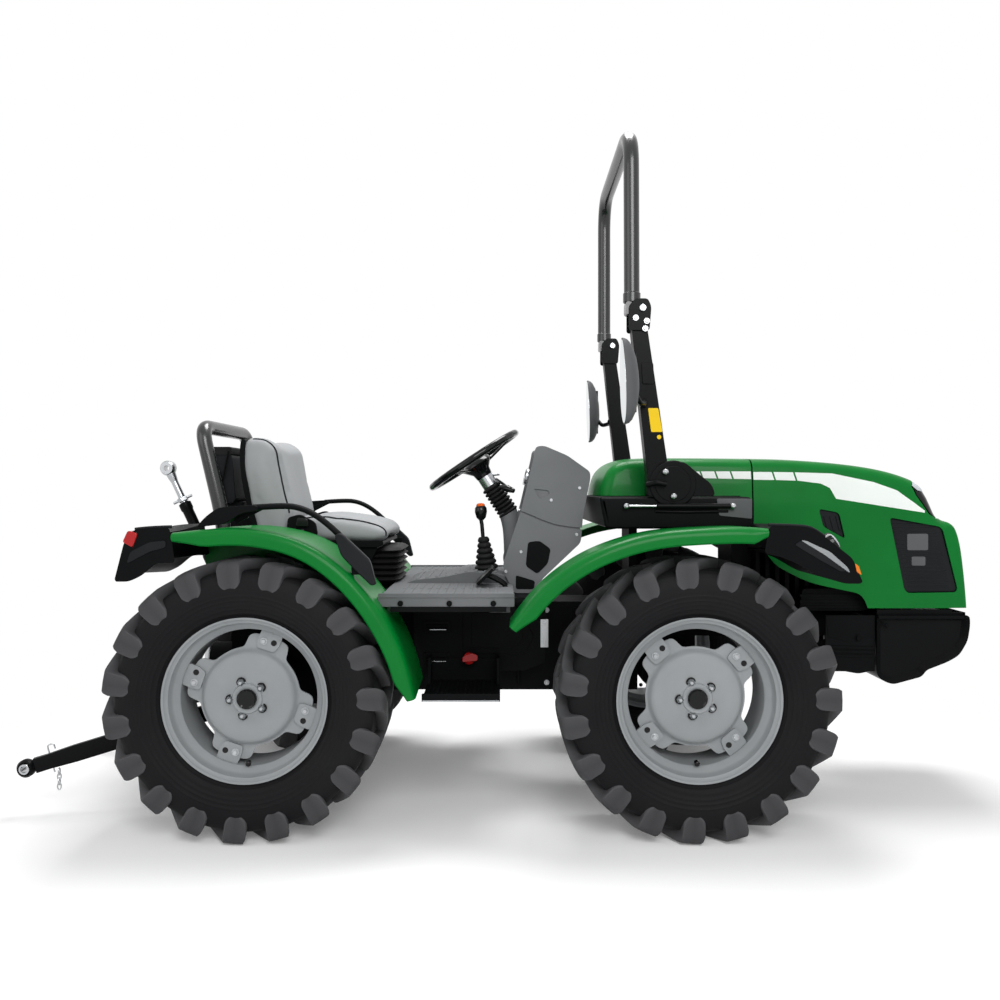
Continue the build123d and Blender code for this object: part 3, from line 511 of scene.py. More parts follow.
def bent(corners, bend, steps=6):
    """Straight legs with each corner eased by a parabola that starts a bend's length before it."""
    corners = np.asarray(corners, float)
    t = np.linspace(0, 1, steps + 1)[:, None]
    parts = [corners[:1]]
    for before, corner, after in zip(corners, corners[1:], corners[2:]):
        a = corner + (before - corner) / np.linalg.norm(before - corner) * bend
        b = corner + (after - corner) / np.linalg.norm(after - corner) * bend
        parts.append((1 - t) ** 2 * a + 2 * t * (1 - t) * corner + t**2 * b)
    parts.append(corners[-1:])
    return np.concatenate(parts)


def tube(shape, route, radius, around=16, flat=1.0):
    """Add a tube: point = route + r (side cos a + flat up sin a), its rings square to the route."""
    route = np.asarray(route, float)
    ahead = np.gradient(route, axis=0)
    ahead /= np.linalg.norm(ahead, axis=1, keepdims=True)
    side = frame_of(ahead[0])[0]
    sides = []
    for step in ahead:
        side = side - step * np.dot(side, step)
        side = side / np.linalg.norm(side)
        sides.append(side)
    sides = np.array(sides)
    ups = np.cross(ahead, sides)
    a = around_circle(around)[None, :, None]
    radius = np.broadcast_to(np.asarray(radius, float), (len(route),))[:, None, None]
    points = route[:, None] + radius * (sides[:, None] * np.cos(a) + flat * ups[:, None] * np.sin(a))
    return capped(shape, points)


# %% [markdown]
# ## Plates, boxes and sheets
# Brackets, covers and blades are plates: an outline with its corners rounded, carried from one place
# to another across the machine. Fenders are sheets between an outer and an inner grid.

# %% Plates, boxes and sheets
def block(shape, low, high):
    """Add a box between two corners."""
    (x0, y0, z0), (x1, y1, z1) = np.minimum(low, high), np.maximum(low, high)
    points = [(x, y, z) for x in (x0, x1) for y in (y0, y1) for z in (z0, z1)]
    faces = [(0, 1, 3, 2), (4, 6, 7, 5), (0, 4, 5, 1), (2, 3, 7, 6), (0, 2, 6, 4), (1, 5, 7, 3)]
    return shape.add(points, faces)


def rounded(outline, radius, steps=4):
    """Closed outline with each corner rounded by a parabola no longer than the legs allow."""
    outline = np.asarray(outline, float)
    before, after = np.roll(outline, 1, 0) - outline, np.roll(outline, -1, 0) - outline
    lb, la = (np.linalg.norm(v, axis=1, keepdims=True) for v in (before, after))
    reach = np.minimum(radius, 0.45 * np.minimum(lb, la))
    a, b = outline + before / lb * reach, outline + after / la * reach
    t = np.linspace(0, 1, steps + 1)[:, None, None]
    curve = (1 - t) ** 2 * a + 2 * t * (1 - t) * outline + t**2 * b
    return curve.transpose(1, 0, 2).reshape(-1, 2)


def box_outline(x0, x1, z0, z1):
    """The four corners of an upright rectangle in X and Z."""
    return [(x0, z0), (x1, z0), (x1, z1), (x0, z1)]


def plate(shape, outline, y0, y1):
    """Add a plate: an outline in X and Z carried between two places in Y."""
    outline = np.asarray(outline, float)
    n = len(outline)
    near, far = (np.insert(outline, 1, y, axis=1) for y in (y0, y1))
    sides = [[i, (i + 1) % n, n + (i + 1) % n, n + i] for i in range(n)]
    faces = [list(range(n)), list(range(n, 2 * n))[::-1], *sides]
    return shape.add(np.concatenate([near, far]), faces)


def thick(shape, outer, inner):
    """Add a sheet between two grids of the same size, closed all round its border."""
    rows, cols = outer.shape[:2]
    n = rows * cols
    last = cols - 1
    rim = [*range(cols), *(r * cols + last for r in range(1, rows)),
           *((rows - 1) * cols + c for c in range(last - 1, -1, -1)),
           *(r * cols for r in range(rows - 2, 0, -1))]
    stitches = [[b, a, a + n, b + n] for a, b in zip(rim, rim[1:] + rim[:1])]
    faces = grid_faces(rows, cols) + grid_faces(rows, cols, start=n, flip=True) + stitches
    return shape.add(np.concatenate([outer.reshape(-1, 3), inner.reshape(-1, 3)]), faces)


def inward(line, closed=False):
    """Unit vectors a quarter turn clockwise from a line in X and Z, seen with +X right and +Z up."""
    ahead = (np.roll(line, -1, 0) - np.roll(line, 1, 0)) if closed else np.gradient(line, axis=0)
    ahead /= np.linalg.norm(ahead, axis=1, keepdims=True)
    return np.stack([ahead[:, 1], -ahead[:, 0]], 1)


def into_outline(line):
    """Unit vectors into a closed outline, whichever way round it runs: the sign of its area tells."""
    area = np.sum(line[:, 0] * np.roll(line[:, 1], -1) - np.roll(line[:, 0], -1) * line[:, 1])
    return inward(line, closed=True) * (1 if area < 0 else -1)


def inset(outline, amount):
    """Outline drawn towards its middle by a fixed amount."""
    line = np.asarray(outline, float)
    return line + into_outline(line) * amount


def rings(outline, rows):
    """Copies of an outline for rows of (y, inset), ready to be lofted across the machine."""
    return np.array([np.insert(inset(outline, e), 1, y, axis=1) for y, e in rows])

# %% [markdown]
# ## Tyres
# A farm tyre is a toroid with two rows of bar lugs, one row half a pitch behind the other. Each bar
# starts near the middle, swings back and widens to the shoulder, and ends in a pad that runs down the
# sidewall. One bar is a section carried along that route, and nineteen copies go round each side.

# %% Tyre carcass and lugs
AXLE_Z, TYRE_R, WHEEL_Y = 424.5, 424.5, 460.0
FRONT_X, REAR_X = 571.0, -787.0
LUGS = 19
HUB = (0, 0, 0)


def side_rings():
    """Section of the carcass as (distance from the middle plane, radius), with fine moulded rings."""
    side = np.array([(-98, 231.0), (-103, 246), (-109, 254), (-119, 264), (-128, 280), (-134, 300),
                     (-137, 314), (-138, 330), (-136, 350), (-131, 368), (-124, 381), (-114, 389.5),
                     (-95, 392), (-50, 394), (0, 394.5)])
    rows = np.concatenate([side, side[-2::-1] * (-1, 1)])
    s = np.linspace(0, 1, 120)
    d = np.interp(s, np.linspace(0, 1, len(rows)), rows[:, 0])
    r = np.interp(s, np.linspace(0, 1, len(rows)), rows[:, 1])
    bead = (r > 240) & (r < 322)
    return np.stack([d + np.sign(d) * bead * 1.6 * (np.sin(r / 13 * 2 * np.pi) > 0.7), r], 1)


def lug_grid():
    """One bar: a trapezoid section with eased edges carried along a route from s = 0 to 1.

    Round the wheel angle = (ahead + half width times across) / R, outwards r = low + (top - low) lift.
    """
    s = np.array([0, 0.06, 0.12, 0.23, 0.34, 0.46, 0.58, 0.66, 0.72, 0.77, 0.82, 0.87, 0.91, 0.94, 0.965,
                  0.985, 1.0])
    at = [0, 0.12, 0.34, 0.58, 0.70, 0.76, 0.82, 0.9, 1.0]
    ahead = np.interp(s, at, [70, 56, 20, -24, -40, -44, -46, -47, -47])
    y = np.interp(s, at, [4, 22, 60, 108, 130, 137, 140, 140.8, 140.8])
    top = np.interp(s, at, [423.5, 424.4, 424.4, 424.2, 421, 414, 402, 372, 342])
    low = np.interp(s, at, [388, 388, 386, 378, 368, 358, 348, 338, 326])
    in_y = np.interp(s, at, [4, 22, 58, 98, 108, 114, 120, 124, 127])
    half = np.interp(s, at, [15, 16.5, 21, 28, 33, 36, 38, 38, 38])
    half = half * np.sqrt(1 - 0.72 * np.clip((s - 0.86) / 0.14, 0, 1) ** 3)
    across = np.array([-1.24, -1.05, -0.95, -0.86, 0.0, 0.86, 0.95, 1.05, 1.24])
    lift = np.array([0.0, 0.5, 0.92, 1.0, 1.0, 1.0, 0.92, 0.5, 0.0])
    dish = np.where((s > 0.84)[:, None], 3.0 * (np.abs(across) < 0.5)[None], 0.0)
    angle = (ahead[:, None] + half[:, None] * across[None]) / TYRE_R
    r = low[:, None] + (top - low)[:, None] * lift[None]
    yy = in_y[:, None] + (y - in_y)[:, None] * lift[None] - dish
    return np.stack([r * np.sin(angle), -yy, r * np.cos(angle)], -1)


def turn_y(points, angle):
    """Turn points about the Y axis: x' = x cos + z sin, z' = z cos - x sin."""
    c, s = math.cos(angle), math.sin(angle)
    return points @ np.array([[c, 0, -s], [0, 1, 0], [s, 0, c]])


def on_wheel(shape, axle_x, side):
    """Put a wheel's shape, made with its outer side at -Y, on its axle."""
    return shape.mapped(lambda p: p * (1, -side, 1) + (axle_x, side * WHEEL_Y, AXLE_Z))


def make_tyre():
    """Carcass and both rows of bars round a wheel's centre."""
    shape = Shape()
    capped(shape, lathe(side_rings(), HUB, ACROSS, 114), closed=True)
    bar = lug_grid()
    for k in range(LUGS):
        capped(shape, turn_y(bar, 2 * math.pi / LUGS * k))
        capped(shape, turn_y(bar * MIRROR, 2 * math.pi / LUGS * (k + 0.5)))
    return shape


def tyre_lug_sheen(shape):
    """Painted sheen along each section of a bar: none at its foot, a painted highlight strongest on its
    edges, less on its face.
    """
    rows = len(lug_grid())
    bars = np.tile([0, 0.55, 1.0, 0.75, 0.6, 0.75, 1.0, 0.55, 0], rows * 2 * LUGS)
    return np.concatenate([np.zeros(shape.count - len(bars)), bars])


tyre = make_tyre()
wear = tyre_lug_sheen(tyre)
WHEELS = [(f"{end}_{hand}", x, side) for end, x in (("front", FRONT_X), ("rear", REAR_X))
          for hand, side in (("left", 1), ("right", -1))]
for name, axle_x, side in WHEELS:
    tread = add_piece(f"tyre_tread_{name}", on_wheel(tyre, axle_x, side), rubber, hides=(f"tyre_{name}",),
                      body=f"wheel_{name}", smooth=34)
    # Painted highlight on the lugs, carried by a point attribute.
    tread.data.attributes.new("wear", "FLOAT", "POINT").data.foreach_set("value", wear)
print("tyre faces", len(tyre.faces))

# %% [markdown]
# ## Wheels
# The rim is rolled from strip, so its section is one even line with a stepped well. The disc is
# pressed into a shallow dome whose four lobes bolt to plates welded inside the rim; the crescent
# openings between the lobes let light through. Five nuts hold it round a dark hub bore.

# %% Rim and disc sections
RIM_ROWS = (
    (-115, 249), (-113, 243), (-108, 240), (-104, 232), (-96, 229.5), (-84, 228), (-78, 223),
    (-72, 214), (-64, 208), (64, 208), (72, 214), (78, 223), (96, 229.5), (104, 232), (108, 240),
    (113, 243), (115, 249), (110, 246.5), (104, 237), (84, 232), (72, 220), (60, 213), (-60, 213),
    (-72, 220), (-84, 232), (-104, 237), (-110, 246.5),
)


def disc_rings(turn):
    """Outer face of the pressed disc: rings out to 150 mm, then to an edge that swings out at each lobe."""
    a = around_circle(192)
    off = np.degrees(np.abs((a - turn + np.pi / 4) % (np.pi / 2) - np.pi / 4))
    reach = 152 + (192 - 152) / (1 + np.exp((off - 22) / 1.6))
    fixed = np.array([28, 46, 52, 60, 100, 126, 133, 138, 142, 146, 150])[:, None] + 0 * a[None]
    r = np.concatenate([fixed, 150 + (reach - 150)[None] * np.array([0.4, 0.85, 1.0])[:, None]])
    y = np.interp(r, [28, 46, 52, 60, 100, 126, 133, 138, 142, 146, 150, 200],
                  [-81, -81, -80, -75, -74, -72, -69.5, -65, -58, -52, -50, -50])
    return np.stack([r * np.cos(a)[None], y, r * np.sin(a)[None]], -1)


# %% Wheels with their nuts and brackets
BRACKET = rounded([(210, -36), (210, 30), (176, 34), (150, 30), (150, -26), (176, -36)], 9)


def wheel_shapes(turn):
    """Pressed steel, dark hub bore and plated fasteners of one wheel, outer side at -Y."""
    pressed, dark, plated = Shape(), Shape(), Shape()
    capped(pressed, lathe(RIM_ROWS, HUB, ACROSS, 112), closed=True)
    face = disc_rings(turn)
    capped(pressed, np.concatenate([face, (face + (0, 6, 0))[::-1]]), closed=True)
    turned(pressed, ((-84, 33), (-86, 36), (-86, 44), (-79, 48)), HUB, ACROSS, 48)
    turned(dark, ((-87, 24), (-90, 28), (-90, 30), (-60, 30)), HUB, ACROSS, 40)
    for k in range(5):
        a = math.radians(39 + 72 * k)
        at = (52.5 * math.cos(a), -79, 52.5 * math.sin(a))
        disc(dark, at, NEAR, 15, 1.2, 0.4, 24)
        turned(plated, ((0, 11), (9, 11), (13, 8), (16, 5), (16, 4)), at, NEAR, 6)
    for k in range(4):
        a = turn + k * math.pi / 2
        out, along = np.array((math.cos(a), 0, math.sin(a))), np.array((-math.sin(a), 0, math.cos(a)))
        welded = np.array([out * r + along * w + (0, -57, 0) for r, w in BRACKET])
        n = len(welded)
        sides = [[i, (i + 1) % n, n + (i + 1) % n, n + i] for i in range(n)]
        faces = [list(range(n)), list(range(n, 2 * n)), *sides]
        pressed.add(np.concatenate([welded, welded + (0, 9, 0)]), faces)
        # Painted shade: a thin dark disc stands for the hole through each bracket.
        disc(dark, out * 178 - along * 17 + (0, -57, 0), NEAR, 9, 0.8, 0.3, 20)
        bolt(plated, out * 174 + along * 14 + (0, -57, 0), NEAR, 8.5, 8)
    disc(dark, (0, -64, -196), (0.1, -1, -0.25), 8, 16, 2, 16)
    return pressed, dark, plated


for name, axle_x, side in WHEELS:
    lobe_turn = math.radians(40 if name.startswith("front") else 71)
    for label, shape, paint in zip(("rim_pressed", "hub_bore", "wheel_nuts"), wheel_shapes(lobe_turn),
                                   (silver, gloss_black, steel)):
        hides = (f"rim_{name}",) if label == "rim_pressed" else ()
        add_piece(f"{label}_{name}", on_wheel(shape, axle_x, side), paint, hides=hides,
                  body=f"wheel_{name}", smooth=35)
print("wheels", len(WHEELS))

# %% [markdown]
# ## Hood and cowl
# Hood and cowl are two mouldings of one form. The form follows the top line from the driver's panel
# to the nose; each section runs flat over the top, rounds a shoulder of 42 mm and drops down the
# side, with a crease 150 mm under the top. The form is made once as a closed solid; the two mouldings,
# the lamp lens and the stripe film are all cut from shells of it, so they fit each other.

# %% Form of the bodywork
FLOOR_Z, REAR_END = 600.0, 306.0
TOP_LINE = ((306, 1033), (311, 1075), (335, 1132), (385, 1160), (470, 1167), (640, 1167), (829, 1165),
            (960, 1163), (1130, 1151), (1260, 1132), (1350, 1106), (1412, 1076), (1444, 1010),
            (1464, 962), (1506, 944), (1530, 880), (1544, 770), (1553, 670), (1556, 600))
SPLIT_X = 826.0


def step(v):
    """Smooth step 3 v^2 - 2 v^3 from 0 to 1, flat before and after."""
    v = np.clip(v, 0, 1)
    return v * v * (3 - 2 * v)


def side_y(x, z):
    """Half width: 239 mm, less above the crease and to the top, at the nose and round the rear corner."""
    upper = 3.5 * step((z - 1012) / 14) + 12 * step((z - 1030) / 130)
    ends = 8 * step((x - 1400) / 190) + 30 * step((350 - x) / 50)
    return 239 - upper - ends


def body_solid(out, floor=FLOOR_Z):
    """Body form moved outwards by out millimetres, closed by a flat floor.

    Across the top y = (wide - soft) k and the surface falls by crown k^2; the shoulder is an arc
    y = wide - soft + soft sin a, falling by soft (1 - cos a); the wall runs straight to the floor.
    """
    line = eased(TOP_LINE, 6)
    into = inward(line)
    line = line - into * out
    line[-1, 1] = floor
    into[-1] = (-1, 0)
    low = np.stack([REAR_END + (line[:, 0] - REAR_END) * 0.95, np.full(len(line), floor)], 1)
    a = np.radians(np.linspace(0, 84, 9))
    k = np.linspace(0, 1, 6)[:-1]
    soft = (42 - 30 * step((line[:, 0] - 1470) / 45))[:, None]
    crown = soft / 6
    drop = np.concatenate([crown * k**2, crown + soft * (1 - np.cos(a))], 1)
    shoulder = line + into * drop[:, -1:]
    wide = side_y(*shoulder.T) + out
    flat = (wide[:, None] - soft) * k[None]
    arc = wide[:, None] - soft + soft * np.sin(a)[None]
    top = line[:, None] + into[:, None] * drop[..., None]
    t = np.linspace(0, 1, 26)[1:, None]
    wall = shoulder[:, None] + (low - shoulder)[:, None] * t[None]
    xz = np.concatenate([top, wall], 1)
    y = np.concatenate([flat, arc, side_y(wall[..., 0], wall[..., 1]) + out], 1)
    half = np.stack([xz[..., 0], y, xz[..., 1]], -1)
    return capped(Shape(), np.concatenate([half[:, :0:-1] * MIRROR, half], 1))


# %% [markdown]
# The hood is hollow, open below and at the back, with a wheel opening, two grille windows, two vents
# and slots across the nose. It parts from the cowl at a 5 mm gap, so that it can swing open.

# %% Hood and cowl mouldings
WALL, GAP = 4.5, 2.5
ARCH = rounded([(700, 500), (700, 944), (848, 944), (858, 860), (900, 800), (1010, 742), (1190, 704),
                (1215, 655), (1215, 500)], 60, 8)
GRILLE = rounded([(1285, 961), (1455, 930), (1466, 918), (1516, 720), (1508, 709), (1346, 707),
                  (1334, 720)], 14)
VENT = rounded([(1047, 990), (1115, 977), (1136, 889), (1062, 930)], 12)
LAMP = [(1362, 1066), (1386, 1104), (1480, 1044), (1484, 962), (1456, 953), (1418, 972), (1376, 1034)]
BEHIND = [(SPLIT_X - GAP, 500), (SPLIT_X - GAP, 1300), (200, 1300), (200, 500)]
AHEAD = [(SPLIT_X + GAP, 400), (SPLIT_X + GAP, 1300), (1700, 1300), (1700, 400)]
UNDER_HOOD = [(600, 400), (600, 656), (1700, 656), (1700, 400)]
UNDER_COWL = [(200, 500), (200, 1034), (784, 1034), (784, 940), (900, 940), (900, 500)]
body = body_solid(0)
hollow = body_solid(-WALL, FLOOR_Z - 20)
slots = Shape()
for z in range(720, 901, 36):
    block(slots, (1440, -150, z), (1600, 150, z + 17))

hood_shell = carve(body, prism(AHEAD), "INTERSECT")
for cutter in (prism(UNDER_HOOD), hollow, prism(ARCH)):
    hood_shell = carve(hood_shell, cutter)
hood_shell = windows(hood_shell, (GRILLE, VENT), 200)
hood_shell = windows(hood_shell, (LAMP,), 110)
hood_shell = carve(hood_shell, slots)
cowl_shell = carve(body, prism(BEHIND), "INTERSECT")
for cutter in (prism(UNDER_COWL), hollow):
    cowl_shell = carve(cowl_shell, cutter)
add_piece("hood_moulding", hood_shell, green, hides=("hood",), body="hood", smooth=28)
add_piece("cowl_moulding", cowl_shell, green, hides=("cowl",), smooth=28)
print("hood faces", len(hood_shell.faces), "cowl faces", len(cowl_shell.faces))

# %% [markdown]
# The stripe is white film on both mouldings. Slanted gaps cut it into short lengths near the split,
# and it tapers to a point beside the nose lamp. It carries no name. The lens is a dark gloss cover
# with a bright strip along its top.

# %% Stripe and nose lamp
def film(outlines, out=0.5, deep=1.5, low=90.0):
    """Thin layer of the body form inside outlines in X and Z, on both sides."""
    layer, under, made = body_solid(out), body_solid(out - deep, FLOOR_Z - 20), Shape()
    for outline in outlines:
        for tool in (prism(outline, low=low), prism(outline, high=-low)):
            made.join(carve(carve(tool, layer, "INTERSECT"), under))
    return made


stripe = [
    [(638, 1116), (638, 1094), (656, 1093), (648, 1116)],
    [(654, 1116), (662, 1093), (706, 1092), (698, 1116)],
    [(704, 1116), (712, 1092), (758, 1091), (750, 1116)],
    [(756, 1116), (764, 1091), (SPLIT_X - 4, 1090), (SPLIT_X - 4, 1116)],
    [(SPLIT_X + 4, 1114), (SPLIT_X + 4, 1088), (900, 1087), (892, 1114)],
    [(898, 1114), (906, 1087), (972, 1085), (964, 1113)],
    [(970, 1113), (978, 1085), (1056, 1075), (1086, 1060), (1106, 1024), (1403, 977), (1403, 984),
     (1312, 1052), (1234, 1080), (1096, 1109)],
]
for name, rides, half in (("hood", "hood", [o for o in stripe if o[0][0] > SPLIT_X]),
                          ("cowl", "chassis", [o for o in stripe if o[0][0] < SPLIT_X])):
    add_piece(f"stripe_film_{name}", film(half), white, body=rides, smooth=28)
LENS = [(1370, 1066), (1392, 1094), (1472, 1040), (1478, 966), (1456, 959), (1422, 977), (1380, 1036)]
STRIP = [(1366, 1068), (1388, 1100), (1420, 1080), (1404, 1048), (1384, 1052)]
add_piece("nose_lamp_lens", film([LENS], out=-3.0, deep=3.0, low=111), gloss_black, hides=("headlamps",),
          body="hood", smooth=28)
add_piece("nose_lamp_strip", film([STRIP], out=-1.0, deep=4.0, low=111), clear, body="hood",
          smooth=28)
print("stripe lengths", len(stripe))

# %% [markdown]
# The side grille is one charcoal panel in a rounded opening, with fine louvres and two plain raised
# pads. The vent behind it has three slanted blades. A plate closes the nose behind its slots.

# %% Side grilles and vents
panel, pads = Shape(), Shape()
GRILLE_Y = 221.0
plate(panel, inset(GRILLE, 1.5), -GRILLE_Y - 8, -GRILLE_Y)
plate(panel, inset(GRILLE, -6), -GRILLE_Y - 0.5, -GRILLE_Y + 5)
plate(panel, inset(VENT, 1.5), -233, -226)
for z in range(726, 936, 13):
    back, front = 1348 - (z - 720) * 0.27, 1500 - (z - 720) * 0.24
    blade = [(back + 6, z), (front - 6, z), (front - 8, z + 6), (back + 5, z + 6)]
    plate(panel, blade, -GRILLE_Y - 9.5, -GRILLE_Y)
for pad in ((1348, 1419, 850, 906), (1363, 1410, 798, 829)):
    plate(pads, rounded(box_outline(*pad), 6), -GRILLE_Y - 10, -GRILLE_Y)
for x in (1064, 1084, 1104):
    plate(panel, [(x, 965), (x + 9, 963), (x + 22, 915), (x + 13, 917)], -236, -232)
add_piece("side_grille_panels", panel.pair(), dark_grey, hides=("hood_grilles",), body="hood",
          smooth=28, bevel=1.5)
add_piece("grille_blank_pads", pads.pair(), grey_plastic, body="hood", smooth=28,
          bevel=1.5)
screen = Shape()
for k in range(6):
    block(screen, (1452, -152, 716 + 36 * k), (1462, 152, 722 + 36 * k))
block(screen, (1440, -200, 662), (1446, 200, 930))
add_piece("nose_screen", screen, plastic, body="hood", smooth=28)
print("grille faces", len(panel.faces))

# %% [markdown]
# ## The band under the roll bar
# A black trough under the cowl carries the roll bar. Its outline is drawn in over the last 14 mm at
# each side, and a lighter panel closes its front end.

# %% Cowl band
band = Shape()
BAND = rounded([(292, 1032), (296, 1010), (310, 934), (330, 930), (781, 930), (781, 1032)], 22, 5)
side = rings(BAND, ((-400, 14), (-399, 6), (-392, 0), (-386, 0)))
capped(band, np.concatenate([side, (side * MIRROR)[::-1]]))
inside = rounded([(316, 900), (316, 1024), (772, 1024), (772, 900)], 5)
band = carve(band, prism(inside, low=-386, high=386))
add_piece("cowl_band_moulding", band, plastic, hides=("cowl_band",), smooth=28)
panel = Shape()
plate(panel, rounded([(664, 1026), (672, 972), (776, 962), (776, 1026)], 6), -403, -399)
add_piece("band_end_panels", panel.pair(), grey_plastic, smooth=28, bevel=1.2)
print("band faces", len(band.faces))

# %% [markdown]
# ## Fenders
# Each fender is one moulding over its wheel: the section runs out from the body, rounds the outer
# edge and turns down into a lip. The section is swept along a line given by angles round the axle
# and the height over the tyre, so the gap to the tyre can be read off the table.

# %% Fender mouldings
FRONT_ROWS = ((158.5, 185), (149, 168), (138, 148), (124, 124.5), (106, 102), (88, 93.5), (74, 118),
              (68.7, 128))
REAR_ROWS = ((112.8, 120.5), (100, 100), (87, 92.5), (71, 89.5), (55, 77), (38, 66.5), (22, 68.5),
             (10, 78), (1.1, 87.5))
EDGE_Y, EDGE_R = 574.0, 26.0


def round_axle(axle_x, rows):
    """Points round an axle: x = axle + (R + gap) cos a, z = axle + (R + gap) sin a."""
    a, r = np.radians([v[0] for v in rows]), TYRE_R + np.array([v[1] for v in rows])
    return np.stack([axle_x + r * np.cos(a), AXLE_Z + r * np.sin(a)], 1)


def fender(line, y_in, lip, wall=5.0):
    """Sheet along a line: flat from y_in, an arc of EDGE_R at the edge, then a lip; both fade at the ends.

    Over the edge y = EDGE_Y + R sin a and the surface falls by R (1 - cos a).
    """
    into = inward(line)
    a = np.radians(np.linspace(0, 90, 8))
    outer_y = EDGE_Y + EDGE_R
    y = np.concatenate([np.linspace(y_in, EDGE_Y, 7)[:-1], EDGE_Y + EDGE_R * np.sin(a), [outer_y, outer_y]])
    crown = 4 * np.cos(np.linspace(0, np.pi / 2, 7))[:-1]
    fall = np.concatenate([crown, EDGE_R * (1 - np.cos(a)), [EDGE_R + (lip - EDGE_R) * 0.5, lip]])
    s = np.linspace(0, 1, len(line))
    fade = np.minimum(1, np.minimum(s, 1 - s) * 9 + 0.45)
    drop = np.where((y > EDGE_Y)[None], fade[:, None], 1) * fall[None]
    skins = []
    for depth in (0.0, wall):
        xz = line[:, None] + into[:, None] * (drop + depth)[..., None]
        out = np.clip((y - EDGE_Y) / EDGE_R, 0, 1) * depth
        across = np.broadcast_to(-(y - out)[None], xz.shape[:2])
        skins.append(np.stack([xz[..., 0], across, xz[..., 1]], -1))
    return thick(Shape(), *skins)


front_sheet = fender(eased(round_axle(FRONT_X, FRONT_ROWS), 8), 402, 44)
rear_line = eased(round_axle(REAR_X, REAR_ROWS), 8)
rear_sheet = fender(rear_line, 285, 46)
foot = [(REAR_X + 370, 660), (REAR_X + 370, 642), (rear_line[0, 0], 642)]
plate(rear_sheet, np.concatenate([rear_line[rear_line[:, 0] < -400] + (0, -4), foot]), -284, -279)
for end, sheet in (("front", front_sheet), ("rear", rear_sheet)):
    add_piece(f"{end}_fender_mouldings", sheet.pair(), green, hides=(f"{end}_fenders",))
print("front fender", len(front_sheet.faces), "rear fender", len(rear_sheet.faces))

# %% [markdown]
# Black mouldings end the fenders at both ends of the machine and hold the lamps. A waist runs round
# each behind its outer face, a bead follows its top edge, and its tip is pointed.

# %% Fender tails
def moulding(outline, y_in, y_out, waist):
    """Thick plate whose outline narrows to a waist and widens again at 45 degrees to its outer face."""
    narrow = waist * (1 - np.sin(np.radians(np.linspace(0, 90, 6))))
    rows = [(-y_in, 0.0), *zip(narrow - y_out, narrow)]
    return capped(Shape(), rings(rounded(outline, 14, 5), rows))


rear_top = [(-1001, 943), (-1060, 941), (-1112, 935), (-1136, 900), (-1164, 790)]
rear_low = [(-1160, 783), (-1122, 783), (-1085, 800), (-1040, 838), (-985, 838)]
front_top = [(772, 948), (860, 946), (905, 939), (940, 913), (1018, 852), (1048, 782)]
front_low = [(1040, 777), (997, 777), (915, 800), (850, 838), (800, 858), (757, 866)]
TAIL_Y = 596.0
tails = moulding(rear_top + rear_low, 290, TAIL_Y, 22).join(moulding(front_top + front_low, 404, TAIL_Y, 22))
add_piece("tail_mouldings", tails.pair(), plastic, hides=("fender_tails",), smooth=50)

ridge = Shape()
for bead in ([(772, 950), (860, 948), (905, 941), (938, 914)], [(-998, 944), (-1060, 943), (-1106, 937)]):
    tube(ridge, [(x, -588, z + 1) for x, z in eased(bead, 5)], 5, 10)
for blade in ([(845, 893), (868, 905), (930, 870), (1000, 818), (985, 812), (925, 845)],
              [(-1116, 872), (-1060, 900), (-1012, 905), (-1012, 885), (-1060, 872), (-1128, 836)]):
    plate(ridge, rounded(blade, 10), -TAIL_Y - 2.5, -TAIL_Y + 2)
add_piece("tail_edges", ridge.pair(), dark_grey)

# Painted highlight: a silver plate on each front tail stands for a streak of light along the black moulding.
painted_highlight_plate = Shape()
highlight_outline = [(863, 906), (880, 904), (950, 872), (1002, 826), (1010, 808), (990, 822), (935, 862)]
plate(painted_highlight_plate, rounded(highlight_outline, 8), -TAIL_Y - 4, -TAIL_Y)
add_piece("front_tail_streaks", painted_highlight_plate.pair(), silver, bevel=1.0)

# %% [markdown]
# A round lamp looks forward and up out of each front tail inside a gloss bezel; the rear tails have
# a red lens, and an amber marker sits at the front tip.

# %% Lamps in the tails
lenses, bezel, reds, ambers = Shape(), Shape(), Shape(), Shape()
LAMP_AT, LAMP_AIM = (977, -546, 897), (0.82, -0.1, 0.57)
turned(lenses, ((-24, 25), (4, 27), (9, 24), (12, 16), (13, 6)), LAMP_AT, LAMP_AIM, 40)
add_piece("front_lamp_lenses", lenses.pair(), clear, hides=("fender_lamps",))
plate(reds, rounded([(-1094, 926), (-1124, 935), (-1140, 900), (-1110, 884)], 8), -601, -470)
add_piece("rear_lamp_lenses", reds.pair(), red, bevel=3)
plate(ambers, rounded([(1024, 838), (1036, 829), (1044, 802), (1030, 812)], 4), -598, -560)
add_piece("side_marker_lenses", ambers.pair(), amber, bevel=2)
turned(bezel, ((-26, 32), (0, 33), (5, 31), (5, 27), (-20, 27)), LAMP_AT, LAMP_AIM, 40, closed=True)
add_piece("front_lamp_bezels", bezel.pair(), gloss_black)
print("tail faces", len(tails.faces), "lamp faces", len(lenses.faces))

# %% [markdown]
# ## Bumper and nose frame
# The front weight is one heavy casting, drawn back towards its corners in plan, with a raised rim
# round each side, an oval recess, a stepped underside and a tow hook. Side covers continue it back
# under the hood.

